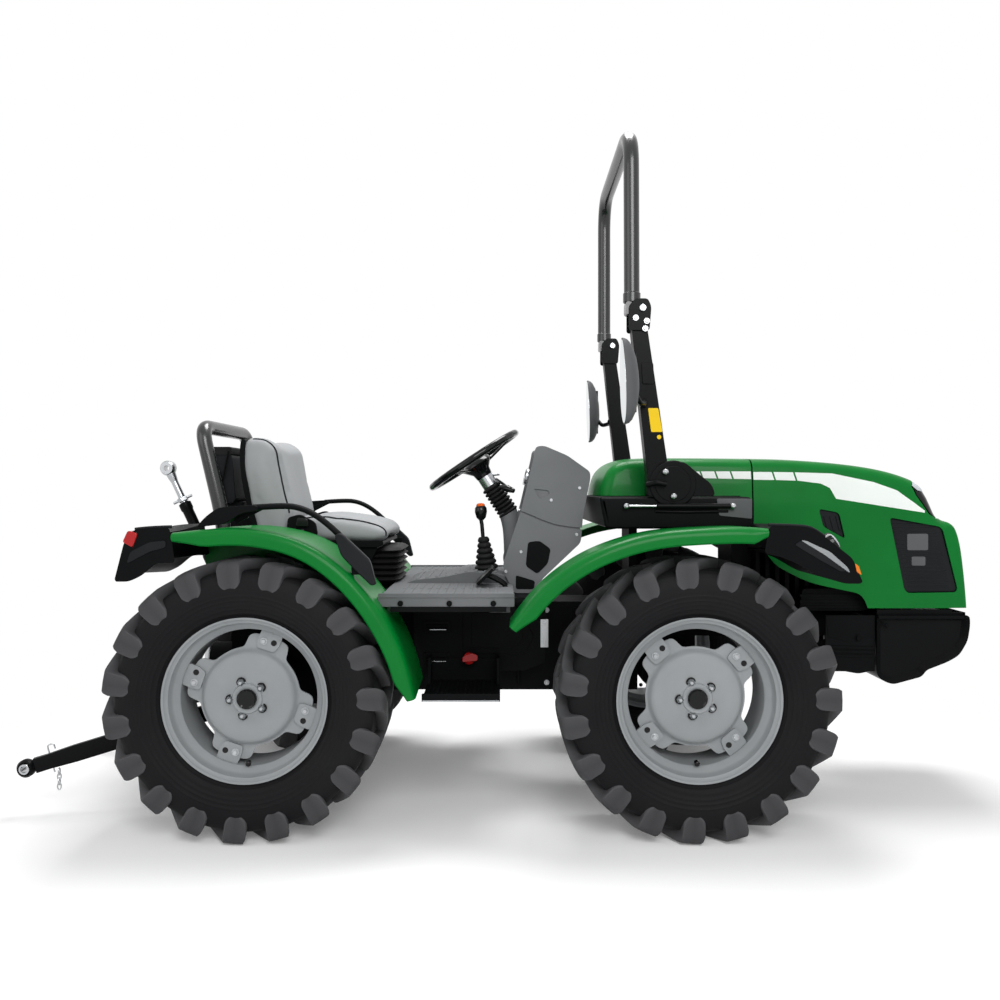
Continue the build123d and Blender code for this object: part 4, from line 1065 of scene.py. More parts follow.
# %% Bumper casting
SIDE_Y, RIM = 250.0, 20.0
OUTLINE = rounded([(1238, 634), (1556, 634), (1557, 600), (1549, 548), (1520, 500), (1480, 478),
                   (1404, 450), (1388, 428), (1292, 402), (1262, 412), (1238, 430)], 18, 4)
dish = RIM * (1 - np.sin(np.radians(np.linspace(0, 90, 7))))
half = rings(OUTLINE, zip(dish - SIDE_Y, dish))
loft = np.concatenate([half, (half * MIRROR)[::-1]])
loft[..., 0] -= step((np.abs(loft[..., 1]) - 120) / 130) * step((loft[..., 0] - 1380) / 180) * 7
bumper = windows(capped(Shape(), loft), (rounded(box_outline(1310, 1366, 470, 496), 12),), 238)
HOOK = [(1516, 630), (1533, 630), (1533, 656), (1544, 662), (1544, 672), (1532, 675), (1516, 660)]
for s in (-1, 1):
    plate(bumper, HOOK, s * 114, s * 126)
    disc(bumper, (1540, s * 120, 666), (0, s, 0), 5, 20, 1, 20)
add_piece("bumper_casting", bumper, black, hides=("front_bumper",), smooth=35)
print("bumper faces", len(bumper.faces))

# %% Side covers
trim = Shape()
plate(trim, [(1070, 632), (1234, 632), (1234, 560), (1150, 540), (1078, 560)], -241, -236)
for z in (522, 508, 494):
    plate(trim, rounded([(1086, z), (1232, z - 4), (1232, z + 5), (1088, z + 8)], 3), -243, -236)
plate(trim, rounded([(1106, 486), (1226, 480), (1226, 446), (1180, 436), (1112, 448)], 12), -240, -150)
block(trim, (1243, -251, 622), (1530, -246, 633))
block(trim, (1243, -238, 633), (1496, -228, 651))
block(trim, (1496, -238, 633), (1540, -228, 642))
block(trim, (1532, -238, 633), (1540, 0, 642))
bolt(trim, (1178, -241, 556), NEAR, 9, 8)
bolt(trim, (1270, -250, 600), NEAR, 7, 5)
add_piece("nose_side_covers", trim.pair(), plastic, smooth=35, bevel=1.5)
print("cover faces", len(trim.faces))

# %% [markdown]
# ## Under the hood
# The engine stays one plain block. What shows through the wheel opening is dressed: upright fins, a
# valve cover, three flat ribs, a belt guard and the radiator's fin stack.

# %% Engine bay
bay = Shape()
for k in range(9):
    block(bay, (860 + 34 * k, -152, 640), (874 + 34 * k, -95, 840))
block(bay, (850, -140, 850), (1180, -96, 880))
for z in (648, 668, 688):
    block(bay, (1000, -190, z), (1230, -120, z + 9))
plate(bay, rounded([(1000, 640), (1230, 640), (1236, 700), (1180, 716), (1010, 716)], 14), -186, -150)
for x in (905, 1010, 1120):
    bolt(bay, (x, -140, 866), NEAR, 8, 6)
add_piece("engine_ribs", bay.pair(), cast, smooth=35, bevel=1.2)
core = Shape()
(x0, y0, z0), (x1, y1, z1) = (np.array(v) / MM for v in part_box("radiator"))
for z in np.arange(z0 + 22, z1 - 12, 12.0):
    block(core, (x0 - 1.2, y0 + 18, z), (x1 + 1.2, y1 - 18, z + 4))
add_piece("radiator_fins", core, aluminium, smooth=35)
print("radiator core", round(x1 - x0), round(y1 - y0), round(z1 - z0))

# %% [markdown]
# ## Step panels and the underside
# The side of the frame is closed by a moulded panel with two louvres. Under it hangs the step: a
# pressed tray with a bright lower edge. A red tap stands out of the near side.

# %% Belly panels and steps
belly, bright, taps = Shape(), Shape(), Shape()
plate(belly, rounded([(-317, 679), (130, 679), (130, 470), (60, 443), (-317, 443)], 12), -222, -214)
for z in (577, 470):
    plate(belly, rounded(box_outline(-284, -190, z - 6, z + 34), 6), -225.5, -221)
    for low in (z, z + 9, z + 18):
        plate(belly, box_outline(-274, -200, low, low + 4), -229, -224)
    plate(bright, box_outline(-262, -206, z + 4, z + 6.5), -230.5, -228)
plate(belly, rounded([(-150, 660), (40, 660), (90, 560), (60, 500), (-150, 500)], 14), -226, -221)
plate(belly, rounded([(-120, 640), (20, 640), (56, 560), (30, 520), (-120, 520)], 12), -229, -225)
block(belly, (-265, -500, 404), (-24, -221, 412))
block(belly, (-265, -230, 404), (-24, -222, 486))
block(belly, (-265, -500, 404), (-24, -494, 429))
for k in range(8):
    block(belly, (-258 + 29 * k, -490, 411), (-246 + 29 * k, -236, 416))
for x in (-262, -36):
    block(belly, (x, -300, 412), (x + 10, -240, 500))
plate(bright, box_outline(-263, -26, 404.5, 409), -501.5, -499)
block(bright, (112, -236, 524), (138, -231, 618))
for z in (604, 540):
    disc(bright, (125, -236, z), NEAR, 6, 3, 1, 16)
block(bright, (114, -231, 596), (136, -222, 602))
turned(taps, ((0, 10), (24, 12), (30, 20), (44, 20), (50, 10)), (-128, -222, 492), NEAR, 20)
plate(taps, rounded([(-150, 482), (-100, 486), (-98, 504), (-120, 512), (-148, 500)], 6), -276, -268)
add_piece("belly_mouldings", belly.pair(), plastic, hides=("belly_panels",),
          smooth=35, bevel=1.5)
add_piece("step_edges", bright.pair(), steel, smooth=35, bevel=0.8)
add_piece("fuel_taps", taps, red, smooth=35, bevel=1.0)
pads = Shape()
plate(pads, rounded([(-60, 664), (10, 664), (10, 640), (-60, 640)], 4), -232, -228)
add_piece("belly_blank_plates", pads.pair(), grey_plastic, smooth=35, bevel=1.0)
print("belly faces", len(belly.faces))

# %% [markdown]
# ## Roll bar
# Two boxed legs lean back from a cast foot to a hinge with a clamp; the hoop above is one bent tube.
# The hoop and its eyes ride on the fold joint, the rest on the machine.

# %% Legs, hinge and hoop
ROPS_Y, FOLD = 375.0, (428.0, 1631.0)
LEG = [(449, 1040), (444, 1100), (394, 1570), (396, 1606), (438, 1606), (444, 1570), (508, 1140),
       (520, 1040)]
FOOT = [(444, 1034), (444, 1130), (470, 1138), (508, 1112), (508, 1034)]
WEB = [(470, 1034), (470, 1096), (500, 1140), (560, 1144), (600, 1110), (648, 1072), (660, 1034)]
EAR = [(385, 1560), (385, 1640), (405, 1662), (445, 1662), (456, 1636), (450, 1560)]
legs, bright, loop = Shape(), Shape(), Shape()
plate(legs, rounded(LEG, 6), -400, -350)
plate(legs, rounded(FOOT, 8), -404, -346)
plate(legs, rounded(WEB, 16), -406, -398)
disc(legs, (524, -398, 1073), NEAR, 75, 10, 3, 48)
disc(legs, (524, -406, 1073), NEAR, 58, 4, 2, 48)
for y in (-406.5, -349.5):
    plate(legs, rounded(EAR, 10), y, y + 6)
plate(legs, rounded([(428, 1390), (466, 1390), (462, 1458), (424, 1458)], 6), -404, -396)
disc(bright, (FOLD[0], -415, FOLD[1]), ACROSS, 11, 80, 2, 24)
for x, z in ((441, 1590), (436, 1566), (406, 1600)):
    bolt(bright, (x, -406.5, z), NEAR, 7, 6)
for x, z in ((498, 1111), (524, 1034)):
    disc(bright, (x, -406, z), NEAR, 9, 22, 3, 20)
    disc(bright, (x, -424, z), NEAR, 5, 8, 2, 16)
tube(legs, bent([(440, -410, 1070), (470, -425, 1078), (500, -425, 1072)], 10), 9, 14)
arch = [(398, -ROPS_Y, 1652), (396, -ROPS_Y, 2212), (398, ROPS_Y, 2212), (398, ROPS_Y, 1652)]
tube(loop, bent(arch, 125, 12), 25, 28)
for s in (-1, 1):
    disc(loop, (398, s * ROPS_Y, 1652), UP, 28, 34, 3, 28)
    lug = rounded([(376, 1614), (376, 1654), (446, 1656), (446, 1614)], 8)
    plate(loop, lug, s * ROPS_Y - 24.5, s * ROPS_Y + 24.5)
add_piece("rops_leg_weldments", legs.pair(), black, hides=("rops_posts",), smooth=35,
          bevel=1.6)
add_piece("rops_fasteners", bright.pair(), steel, smooth=35)
add_piece("rops_hoop_tube", loop, hoop_enamel, hides=("rops_hoop",), body="rops_hoop",
          smooth=35)
print("hoop top", round(max(p[2] for p in loop.points[0]), 1))

# %% Blank labels on the leg
label, spot = Shape(), Shape()
plate(label, rounded([(446, 1314), (478, 1314), (492, 1238), (456, 1238)], 4), -401.2, -399.5)
add_piece("leg_blank_label", label, yellow, smooth=35)
disc(spot, (481, -399.5, 1222), NEAR, 7, 1.2, 0.3, 24)
add_piece("leg_label_spot", spot, yellow, smooth=35)
print("label faces", len(label.faces) + len(spot.faces))

# %% [markdown]
# A gas strut lies along the band below the roll bar: a bright rod, a black cylinder and a ball
# joint at each end. The mirrors are shallow oval shells on thin bent arms, glass to the rear.

# %% Strut and mirrors
strut, rod = Shape(), Shape()
disc(strut, (470, -414, 1003), FORWARD, 9, 236, 3, 20)
disc(rod, (380, -414, 1003), FORWARD, 4.5, 330, 1, 16)
for x in (376, 712):
    disc(rod, (x, -398, 1003), NEAR, 9, 26, 5, 20)
tube(strut, [(470, -401, 986), (560, -401, 984), (700, -401, 986)], 5, 10)
add_piece("strut_cylinders", strut.pair(), black, smooth=35)
add_piece("strut_rods", rod.pair(), steel, smooth=35)
print("strut faces", len(strut.faces))

# %% Mirrors
MIRROR_Y, MIRROR_Z, MIRROR_HALF_WIDE, MIRROR_HALF_TALL, BOWL, LEAN = -532, 1384, 66, 131, 44, -0.03


def mirror_shell():
    """Oval bowl and its glass for q from the middle, 0, to the edge, 1, and angle a round it.

    y = half width q cos a (1 - 0.16 sin a), z = half height q sin a and depth = 44 (1 - q^2)^0.5.
    """
    q = np.array([0.02, 0.3, 0.55, 0.75, 0.9, 0.97, 1.0])
    a = around_circle(56)
    egg = 1 - 0.16 * np.sin(a)
    depth = BOWL * np.sqrt(np.maximum(0, 1 - q**2))
    y = MIRROR_Y + (MIRROR_HALF_WIDE * q)[:, None] * (np.cos(a) * egg)[None]
    z = MIRROR_Z + (MIRROR_HALF_TALL * q)[:, None] * np.sin(a)[None]
    lean = LEAN * (z - MIRROR_Z)
    outer = np.stack([352 + depth[:, None] + lean, y, z], -1)
    front = np.stack([348 + lean, y, z], -1)
    seat = front[-2:-5:-1] + (4, 0, 0)
    shell = capped(Shape(), np.concatenate([outer, front[-1:], seat]))
    pane = np.stack([front[-2] + (3.2, 0, 0), front[-2] + (-0.5, 0, 0), front[1] + (-0.5, 0, 0)])
    return shell, capped(Shape(), pane)


back, glass = mirror_shell()
arm = Shape()
tube(arm, bent([(424, -398, 1330), (430, -440, 1326), (404, -500, 1322), (384, -524, 1350)], 16), 8, 14)
disc(arm, (430, -396, 1330), NEAR, 15, 16, 3, 20)
disc(arm, (378, -526, 1352), FORWARD, 16, 16, 3, 20)
tube(arm, [(384, -526, 1290), (386, -526, 1350), (384, -526, 1470)], 6, 12)
add_piece("mirror_shells", back.pair(), grey_plastic, hides=("mirrors",), smooth=50)
add_piece("mirror_glasses", glass.pair(), mirror_glass, smooth=50)
add_piece("mirror_arms", arm.pair(), black)
print("mirror faces", len(back.faces))

# %% [markdown]
# ## Seat
# The seat is two upholstered pads on a moulded shell. Both pads start as closed forms drawn in at
# their sides, dished between the bolsters, and are then blown up by the cloth solver, so that the
# cover stretches between its edges as sewn vinyl does. Seams are added after the simulation.

# %% Cushion form
def pillow(outline, half, soft, middle, rows=22):
    """Closed cushion on an outline in X and Z, between y = -half and half.

    It is drawn in by soft (1 - (1 - u^2)^0.5), where u rises from 0 to 1 over the last soft millimetres
    of each side, and dished by middle cos^2 between them.
    """
    line = rounded(outline, soft, 6)
    a = np.linspace(-np.pi / 2, np.pi / 2, rows)
    y = np.sign(a) * (half - soft) * np.minimum(1, np.abs(a) * 1.3) + soft * np.sin(a)
    u = np.clip((np.abs(y) - (half - soft)) / soft, 0, 1)
    draw = soft * (1 - np.sqrt(1 - u**2)) + middle * np.cos(y / half * np.pi / 2) ** 2
    xz = line[None] + into_outline(line)[None] * draw[:, None, None]
    return capped(Shape(), np.stack([xz[..., 0], np.broadcast_to(y[:, None], xz.shape[:2]), xz[..., 1]], -1))


# %% Cushions
VOXEL, PRESSURE, REACH_CAP, LAST_FRAME = 7, 4, 7, 20


def padded(name, shape, hides):
    """Remesh a closed form, inflate it with cloth pressure, and keep each point within a cap of its start."""
    obj = add_piece(name, shape, vinyl, hides=hides, smooth=180)
    bpy.context.view_layer.objects.active = obj
    remesh = obj.modifiers.new("remesh", "REMESH")
    remesh.mode = "VOXEL"
    remesh.voxel_size = VOXEL * MM
    grown = evaluated_mesh(obj)
    obj.modifiers.clear()
    obj.data = grown
    start = vertex_places(grown)
    cloth = obj.modifiers.new("cloth", "CLOTH")
    cloth.settings.use_pressure = True
    cloth.settings.uniform_pressure_force = PRESSURE
    cloth.settings.quality = 4
    cloth.settings.tension_stiffness = 30
    cloth.settings.effector_weights.gravity = 0
    cloth.point_cache.frame_start, cloth.point_cache.frame_end = 1, LAST_FRAME
    for f in range(1, LAST_FRAME + 1):
        scene.frame_set(f)
    move = vertex_places(evaluated_mesh(obj)) - start
    far = np.linalg.norm(move, axis=1, keepdims=True)
    move *= np.minimum(1, REACH_CAP * MM / np.maximum(far, 1e-9))
    grown.vertices.foreach_set("co", (start + move).ravel())
    obj.modifiers.clear()
    scene.frame_set(1)
    grown.shade_smooth()
    smooth = obj.modifiers.new("smooth", "SMOOTH")
    smooth.factor, smooth.iterations = 0.5, 4
    soft = obj.modifiers.new("soft", "SUBSURF")
    soft.levels = soft.render_levels = 1
    return obj


CUSHION = [(-735, 880), (-735, 950), (-700, 962), (-620, 966), (-500, 950), (-425, 934), (-402, 914),
           (-404, 888), (-440, 876)]
BACK = [(-846, 880), (-884, 1000), (-906, 1130), (-904, 1216), (-884, 1238), (-826, 1236), (-788, 1206),
        (-772, 1130), (-752, 1040), (-738, 972), (-742, 900), (-770, 880)]
padded("seat_cushion_pad", pillow(CUSHION, 214, 34, 9), ("seat_cushion",))
padded("seat_back_pad", pillow(BACK, 208, 34, 10), ("seat_backrest",))

# %% [markdown]
# Piping follows the edge between the facing and the side panels. It is drawn as a line near the pad
# and then laid on the finished surface. The shell behind is one moulding that wraps the rear of the
# back pad and carries the cushion.

# %% Piping
def laid_on(pad, line):
    """Move each point of a line, in millimetres, to the nearest point of a pad's finished surface."""
    tree = BVHTree.FromObject(bpy.data.objects[pad], bpy.context.evaluated_depsgraph_get())
    return [tuple(tree.find_nearest(Vector(p) * MM)[0] / MM) for p in line]


PIPED = (
    ("seat_back_pad", 190,
     [(-870, 1240), (-826, 1240), (-784, 1206), (-768, 1130), (-748, 1040), (-736, 976)]),
    ("seat_cushion_pad", 196,
     [(-716, 968), (-620, 974), (-500, 958), (-425, 942), (-398, 916), (-400, 892)]),
)
piping = Shape()
for s in (-1, 1):
    for pad, y, corners in PIPED:
        tube(piping, laid_on(pad, [(x, s * y, z) for x, z in eased(corners, 6)]), 3.2, 10)
add_piece("seat_piping", piping, dark_grey, smooth=60)
print("piping faces", len(piping.faces))

# %% Shell, seat carrier and buckles
shell, belts = Shape(), Shape()
SHELL_BACK = [(-852, 872), (-892, 1000), (-916, 1130), (-914, 1222), (-900, 1232), (-893, 1216),
              (-896, 1130), (-874, 1000), (-838, 884)]
plate(shell, eased(SHELL_BACK, 5, closed=True), -188, 188)
plate(shell, rounded([(-850, 858), (-440, 858), (-420, 868), (-424, 880), (-850, 884)], 8), -205, 205)
block(shell, (-800, -150, 715), (-500, 150, 800))
plate(shell, rounded([(-830, 800), (-470, 800), (-440, 860), (-840, 860)], 14), -190, 190)
for s in (-1, 1):
    hip = rounded([(-745, 900), (-640, 900), (-648, 944), (-700, 972), (-742, 960)], 12)
    plate(shell, hip, s * 214, s * 226)
    plate(belts, rounded([(-712, 930), (-668, 930), (-672, 956), (-706, 960)], 6), s * 226, s * 238)
    disc(belts, (-690, s * 226, 914), (0, s, 0), 9, 14, 3, 20)
add_piece("seat_shell", shell, plastic, hides=("seat_base",), bevel=3, segments=3)
add_piece("belt_buckles", belts, gloss_black, bevel=2)
print("shell faces", len(shell.faces))

# %% Seat bellows
# Six ribs: half length 170 + swell and half width 148 + swell, times cos a and sin a to the power 0.3.
t = np.linspace(0, 1, 49)
a = around_circle(72)
swell = 17 * (1 - np.abs(2 * ((t * 6) % 1) - 1)) ** 0.8
ring = [np.sign(v) * np.abs(v) ** 0.3 for v in (np.cos(a), np.sin(a))]
x = -560 + (170 + swell + 8 * t)[:, None] * ring[0][None]
y = (148 + swell)[:, None] * ring[1][None]
skirt = capped(Shape(), np.stack([x, y, np.broadcast_to((732 + 122 * t)[:, None], x.shape)], -1))
add_piece("seat_bellows", skirt, bellows_rubber, smooth=50)
print("bellows faces", len(skirt.faces))

# %% [markdown]
# ## Hoop, belt box and hand rails
# A tube hoop stands behind the seat. A charcoal belt box hangs in it, with black straps down its near
# side. Hand rails run over the fenders: a flattened tube from a moulded box to a charcoal grip plate.

# %% Rear hoop and belt box
hoop, strap_box, straps = Shape(), Shape(), Shape()
HOOP = [(-938, -235, 715), (-958, -235, 960), (-1030, -235, 1268), (-1012, 235, 1268), (-958, 235, 960),
        (-938, 235, 715)]
tube(hoop, bent(HOOP, 68, 10), 24.5, 24)
for s in (-1, 1):
    block(hoop, (-975, s * 210, 715), (-905, s * 262, 726))
plate(strap_box, rounded([(-1052, 1182), (-962, 1182), (-948, 1010), (-1014, 1002)], 20, 5), -120, 120)
plate(straps, rounded([(-1056, 1204), (-962, 1204), (-960, 1176), (-1054, 1176)], 8), -124, 124)
for strap in ([(-1044, -124, 1190), (-1016, -126, 1130), (-992, -125, 1090), (-984, -124, 1010)],
              [(-972, -124, 1190), (-984, -126, 1130), (-992, -125, 1090)]):
    tube(straps, eased(strap, 4), 9, 8, 0.3)
block(strap_box, (-1004, -60, 985), (-940, 60, 1012))
tube(strap_box, [(-990, -210, 1010), (-990, 0, 1006), (-990, 210, 1010)], 9, 12)
add_piece("rear_hoop_tube", hoop, hoop_enamel, hides=("seat_hoop",))
add_piece("belt_box", strap_box, dark_grey, bevel=3)
add_piece("belt_straps", straps, bellows_rubber)
print("hoop faces", len(hoop.faces))

# %% Hand rails
rails, grips = Shape(), Shape()
RAIL_BOX = [(-935, 942), (-905, 975), (-868, 1002), (-760, 1009), (-748, 1003), (-752, 992),
            (-800, 984), (-850, 952)]
RAIL = [(-770, 1001), (-690, 1007), (-630, 1003), (-570, 974), (-500, 912), (-470, 880)]
plate(rails, rounded(RAIL_BOX, 16), -566, -524)
tube(rails, eased([(x, -545, z) for x, z in RAIL], 6), 15, 16, 0.62)
RAIL_WEB = [(-838, 968), (-816, 984), (-748, 1004), (-742, 996), (-800, 966), (-826, 950)]
plate(rails, rounded(RAIL_WEB, 5), -522, -514)
GRIP = [(-520, 921), (-498, 925), (-413, 845), (-394, 771), (-410, 768), (-455, 812), (-500, 858)]
plate(grips, rounded(GRIP, 14), -574, -548)
block(rails, (-470, -560, 800), (-440, -530, 850))
add_piece("hand_rail_tubes", rails.pair(), plastic, hides=("hand_rails",), bevel=2)
add_piece("hand_rail_grips", grips.pair(), dark_grey, bevel=5, segments=3)
print("rail faces", len(rails.faces))

# %% [markdown]
# ## Steering wheel and column
# A soft grip on a steel ring, three thin spokes and a dished hub. The column passes through a bright
# collar and a ribbed sleeve into a grey cover. The grip is a torus with shallow finger waves.

# %% Steering wheel
CENTRE = np.array((-119.0, 0, 1161.0))
TILT = math.radians(33.4)
DOWN = np.array((math.sin(TILT), 0, -math.cos(TILT)))
UP_SLOPE = np.array((math.cos(TILT), 0, math.sin(TILT)))
RIM_R, GRIP_R = 179, 12.5
HUB_ROWS = ((4, 10), (0, 40), (6, 54), (18, 58), (44, 34), (66, 30), (66, 20))
wheel = Shape()
a, b = around_circle(96), around_circle(14)
r = RIM_R + (GRIP_R * np.cos(b))[:, None] + 0.8 * np.cos(a * 24)[None]
ring = np.cos(a)[:, None] * np.array(ACROSS) + np.sin(a)[:, None] * UP_SLOPE
torus = CENTRE + r[..., None] * ring[None] + (GRIP_R * np.sin(b))[:, None, None] * DOWN
capped(wheel, torus, closed=True)
turned(wheel, HUB_ROWS, CENTRE + DOWN * 4, DOWN, 48)
for k in (90, 210, 330):
    v = math.radians(k)
    out = np.array((0, math.cos(v), 0)) + UP_SLOPE * math.sin(v)
    spoke = [CENTRE + DOWN * 30 + out * 36, CENTRE + DOWN * 18 + out * 100, CENTRE + out * 172]
    tube(wheel, eased(spoke, 5), 8, 12, 0.55)
print("steering wheel faces", len(wheel.faces))


# %% Column, collar and sleeve
def bellows(shape, start, end, ribs, wide, narrow, taper=1.0):
    """Add a ribbed rubber sleeve: r = (narrow + (wide - narrow) |sin|^0.7) times a taper along it."""
    start, end = np.asarray(start, float), np.asarray(end, float)
    t = np.linspace(0, 1, ribs * 8 + 1)
    r = (narrow + (wide - narrow) * np.abs(np.sin(t * ribs * np.pi)) ** 0.7) * (1 + (taper - 1) * t)
    rows = np.stack([t * np.linalg.norm(end - start), r], 1)
    return turned(shape, rows, start, end - start, 40)


collar, sleeve = Shape(), Shape()
disc(collar, CENTRE + DOWN * 68, DOWN, 29, 46, 4, 32)
tube(collar, [CENTRE + DOWN * 80 + UP_SLOPE * 26, CENTRE + DOWN * 92 + UP_SLOPE * 50], 6, 12)
bellows(sleeve, CENTRE + DOWN * 112, CENTRE + DOWN * 232, 8, 38, 29)
cover = Shape()
tube(cover, eased([CENTRE + DOWN * 222, (14, 0, 948), (24, 0, 880), (26, 0, 720)], 6), 34, 28)
add_piece("column_cover", cover, console_grey, smooth=50)
add_piece("steering_wheel_rim", wheel, gloss_black, hides=("steering_wheel",), body="steering_wheel",
          smooth=50)
add_piece("column_collar", collar, steel)
add_piece("column_sleeve", sleeve, bellows_rubber, smooth=50)
stalk = Shape()
tube(stalk, eased([(-38, -20, 1092), (-20, -60, 1080), (0, -96, 1064), (10, -112, 1052)], 5), 5, 12)
tube(stalk, [(-16, -92, 1062), (2, -104, 1058), (24, -118, 1050)], (9, 13, 8), 16)
add_piece("column_stalk", stalk, gloss_black, smooth=50)
print("sleeve faces", len(sleeve.faces))

# %% [markdown]
# ## Console
# The console is a split moulding: a sloped instrument panel faces the driver, its sides stand proud
# as flanges parted by a seam, and dark lower panels close the foot well. Screws hold the halves.

# %% Console
CONSOLE_Y, FLANGE = 165.0, 16.0
CONSOLE = rounded([(92, 1168), (98, 1203), (128, 1206), (208, 1172), (286, 1116), (287, 1092),
                   (262, 968), (254, 872), (120, 745), (95, 698), (22, 698), (-10, 770), (-14, 800),
                   (50, 990)], 14, 4)
lower = Shape()
step_in = FLANGE * (1 - np.sin(np.radians(np.linspace(0, 90, 6))))
half = rings(CONSOLE, zip(step_in - CONSOLE_Y, step_in))
console = capped(Shape(), np.concatenate([half[::-1], half * MIRROR]))
seam = eased([(20, 992), (70, 974), (130, 946), (200, 926), (300, 920)], 5)
grooves = (
    np.concatenate([seam, (seam - (0, 6))[::-1]]),
    rounded([(92, 1058), (142, 1052), (148, 1040), (112, 1022)], 8),
)
console = windows(console, grooves, 159)
add_piece("console_moulding", console, console_grey, hides=("dash_console",), smooth=35)
PAD = [(72, 874), (112, 878), (150, 850), (140, 800), (104, 764), (64, 792)]
plate(lower, rounded(PAD, 10), -168, -163)
plate(lower, rounded([(30, 712), (92, 712), (96, 740), (30, 760)], 8), -168, -163)
add_piece("console_lower_panels", lower.pair(), plastic, smooth=35, bevel=1.5)
print("console faces", len(console.faces))

# %% Screws and dials
screws, dials, ring = Shape(), Shape(), Shape()
for x, z in ((152, 1018), (48, 840), (-4, 772), (250, 1060), (240, 900)):
    disc(screws, (x, -165, z), NEAR, 6, 2.5, 1, 20)
add_piece("console_screws", screws.pair(), steel, smooth=35)
TO_DRIVER = (-0.97, 0, 0.24)
BEZEL_ROWS = ((0, 30), (6, 30), (8, 27), (5, 25), (0, 25))
for y in (-60, 0, 60):
    turned(ring, BEZEL_ROWS, (73, y, 1100), TO_DRIVER, 36, closed=True)
    disc(dials, (73, y, 1100), TO_DRIVER, 25, 3, 0.5, 36)
add_piece("dial_rings", ring, steel, smooth=35)
add_piece("dial_faces", dials, gloss_black, smooth=35)
print("dial faces", len(dials.faces))

# %% [markdown]
# ## Levers, pedals and mat
# The gear lever rises from a ribbed cone; its knob has an orange cap. The mat has a border and
# rows of raised bars for grip. Pedals stand either side of the tunnel.

# %% Gear lever
cone, knob, cap = Shape(), Shape(), Shape()
bellows(cone, (-72, -60, 770), (-84, -60, 886), 6, 44, 34, 0.42)
tube(knob, [(-84, -60, 872), (-89, -60, 930), (-93, -60, 952)], 7, 14)
turned(knob, ((0, 8), (10, 17), (30, 22), (44, 21), (52, 15)), (-91, -60, 945), (-0.05, 0, 1), 28)
turned(cap, ((0, 15.5), (5, 15), (9, 10), (10, 4)), (-93.6, -60, 996), (-0.05, 0, 1), 28)
add_piece("gear_lever_cone", cone, bellows_rubber, hides=("gear_lever",), smooth=50)
add_piece("gear_lever_knob", knob, gloss_black, smooth=50)
add_piece("gear_lever_cap", cap, orange, smooth=50)
print("cone faces", len(cone.faces))

# %% Floor mat
(x0, y0, z0), (x1, y1, z1) = (np.array(v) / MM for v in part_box("floor_mat"))
mat = Shape()
plate(mat, rounded([(x0, z0), (x1, z0), (x1, z0 + 36), (x0 + 8, z0 + 36), (x0, z0 + 26)], 5), y0, y1)
TUNNEL = [(-400, 700), (-330, 741), (-220, 752), (-130, 771), (-40, 765), (19, 746)]
plate(mat, rounded([*TUNNEL, (19, 700)], 20), -150, 150)
for k in range(12):
    x = -340 + 27 * k
    for s in (-1, 1):
        block(mat, (x, s * 176, 728), (x + 11, s * 330, 732.5))
        block(mat, (x, s * 344, 728), (x + 11, s * 486, 732.5))
for k in range(9):
    z = np.interp(-318 + 34 * k, *zip(*TUNNEL))
    block(mat, (-318 + 34 * k, -138, z - 4), (-306 + 34 * k, 138, z + 3))
for s in (-1, 1):
    plate(mat, rounded(box_outline(x0 + 2, x1, z0 + 28, z0 + 42), 4), s * 494, s * 500)
add_piece("floor_mat_rubber_sheet", mat, mat_rubber, hides=("floor_mat",), smooth=35,
          bevel=1.5)
print("mat length", round(x1 - x0), "width", round(y1 - y0))

# %% Pedals and platform bolts
pedals, bolts = Shape(), Shape()
for y in (-260, -200, 215):
    tube(pedals, eased([(10, y, 700), (0, y, 730), (-30, y, 752), (-66, y, 768)], 4), 7, 12)
    plate(pedals, rounded([(-104, 744), (-96, 738), (-44, 788), (-52, 795)], 2), y - 36, y + 36)
add_piece("pedals", pedals, black, smooth=35, bevel=1.5)
for x in (-45, -330, -180):
    bolt(bolts, (x, -500, 706), NEAR, 6.5, 5)
add_piece("platform_bolts", bolts.pair(), plastic, smooth=35)
print("pedal faces", len(pedals.faces))

# %% [markdown]
# ## Rear hitch
# The hitch is the machine's working end: a top link with two ball ends and a turnbuckle, two flat
# lower links with ball eyes, lift arms and threaded lift rods. Each piece turns on the pin that the
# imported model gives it, so it is drawn between those pins. A thread is drawn as rings 0.9 mm high,
# coarser than the real one, so that it shows.

# %% Top link
BASE, EYE = np.array((-1000.0, 0, 640.0)), np.array((-1229.0, 0, 1132.0))


def between(start, end):
    """Unit direction and length from one pin to the next."""
    length = float(np.linalg.norm(end - start))
    return (end - start) / length, length


def eye(shape, centre, radius, bore, half):
    """Ring eye about Y with chamfered shoulders; the bore goes through."""
    rows = ((-half, bore), (-half, radius * 0.8), (-half * 0.5, radius), (half * 0.5, radius),
            (half, radius * 0.8), (half, bore))
    return turned(shape, rows, centre, ACROSS, 40, closed=True)


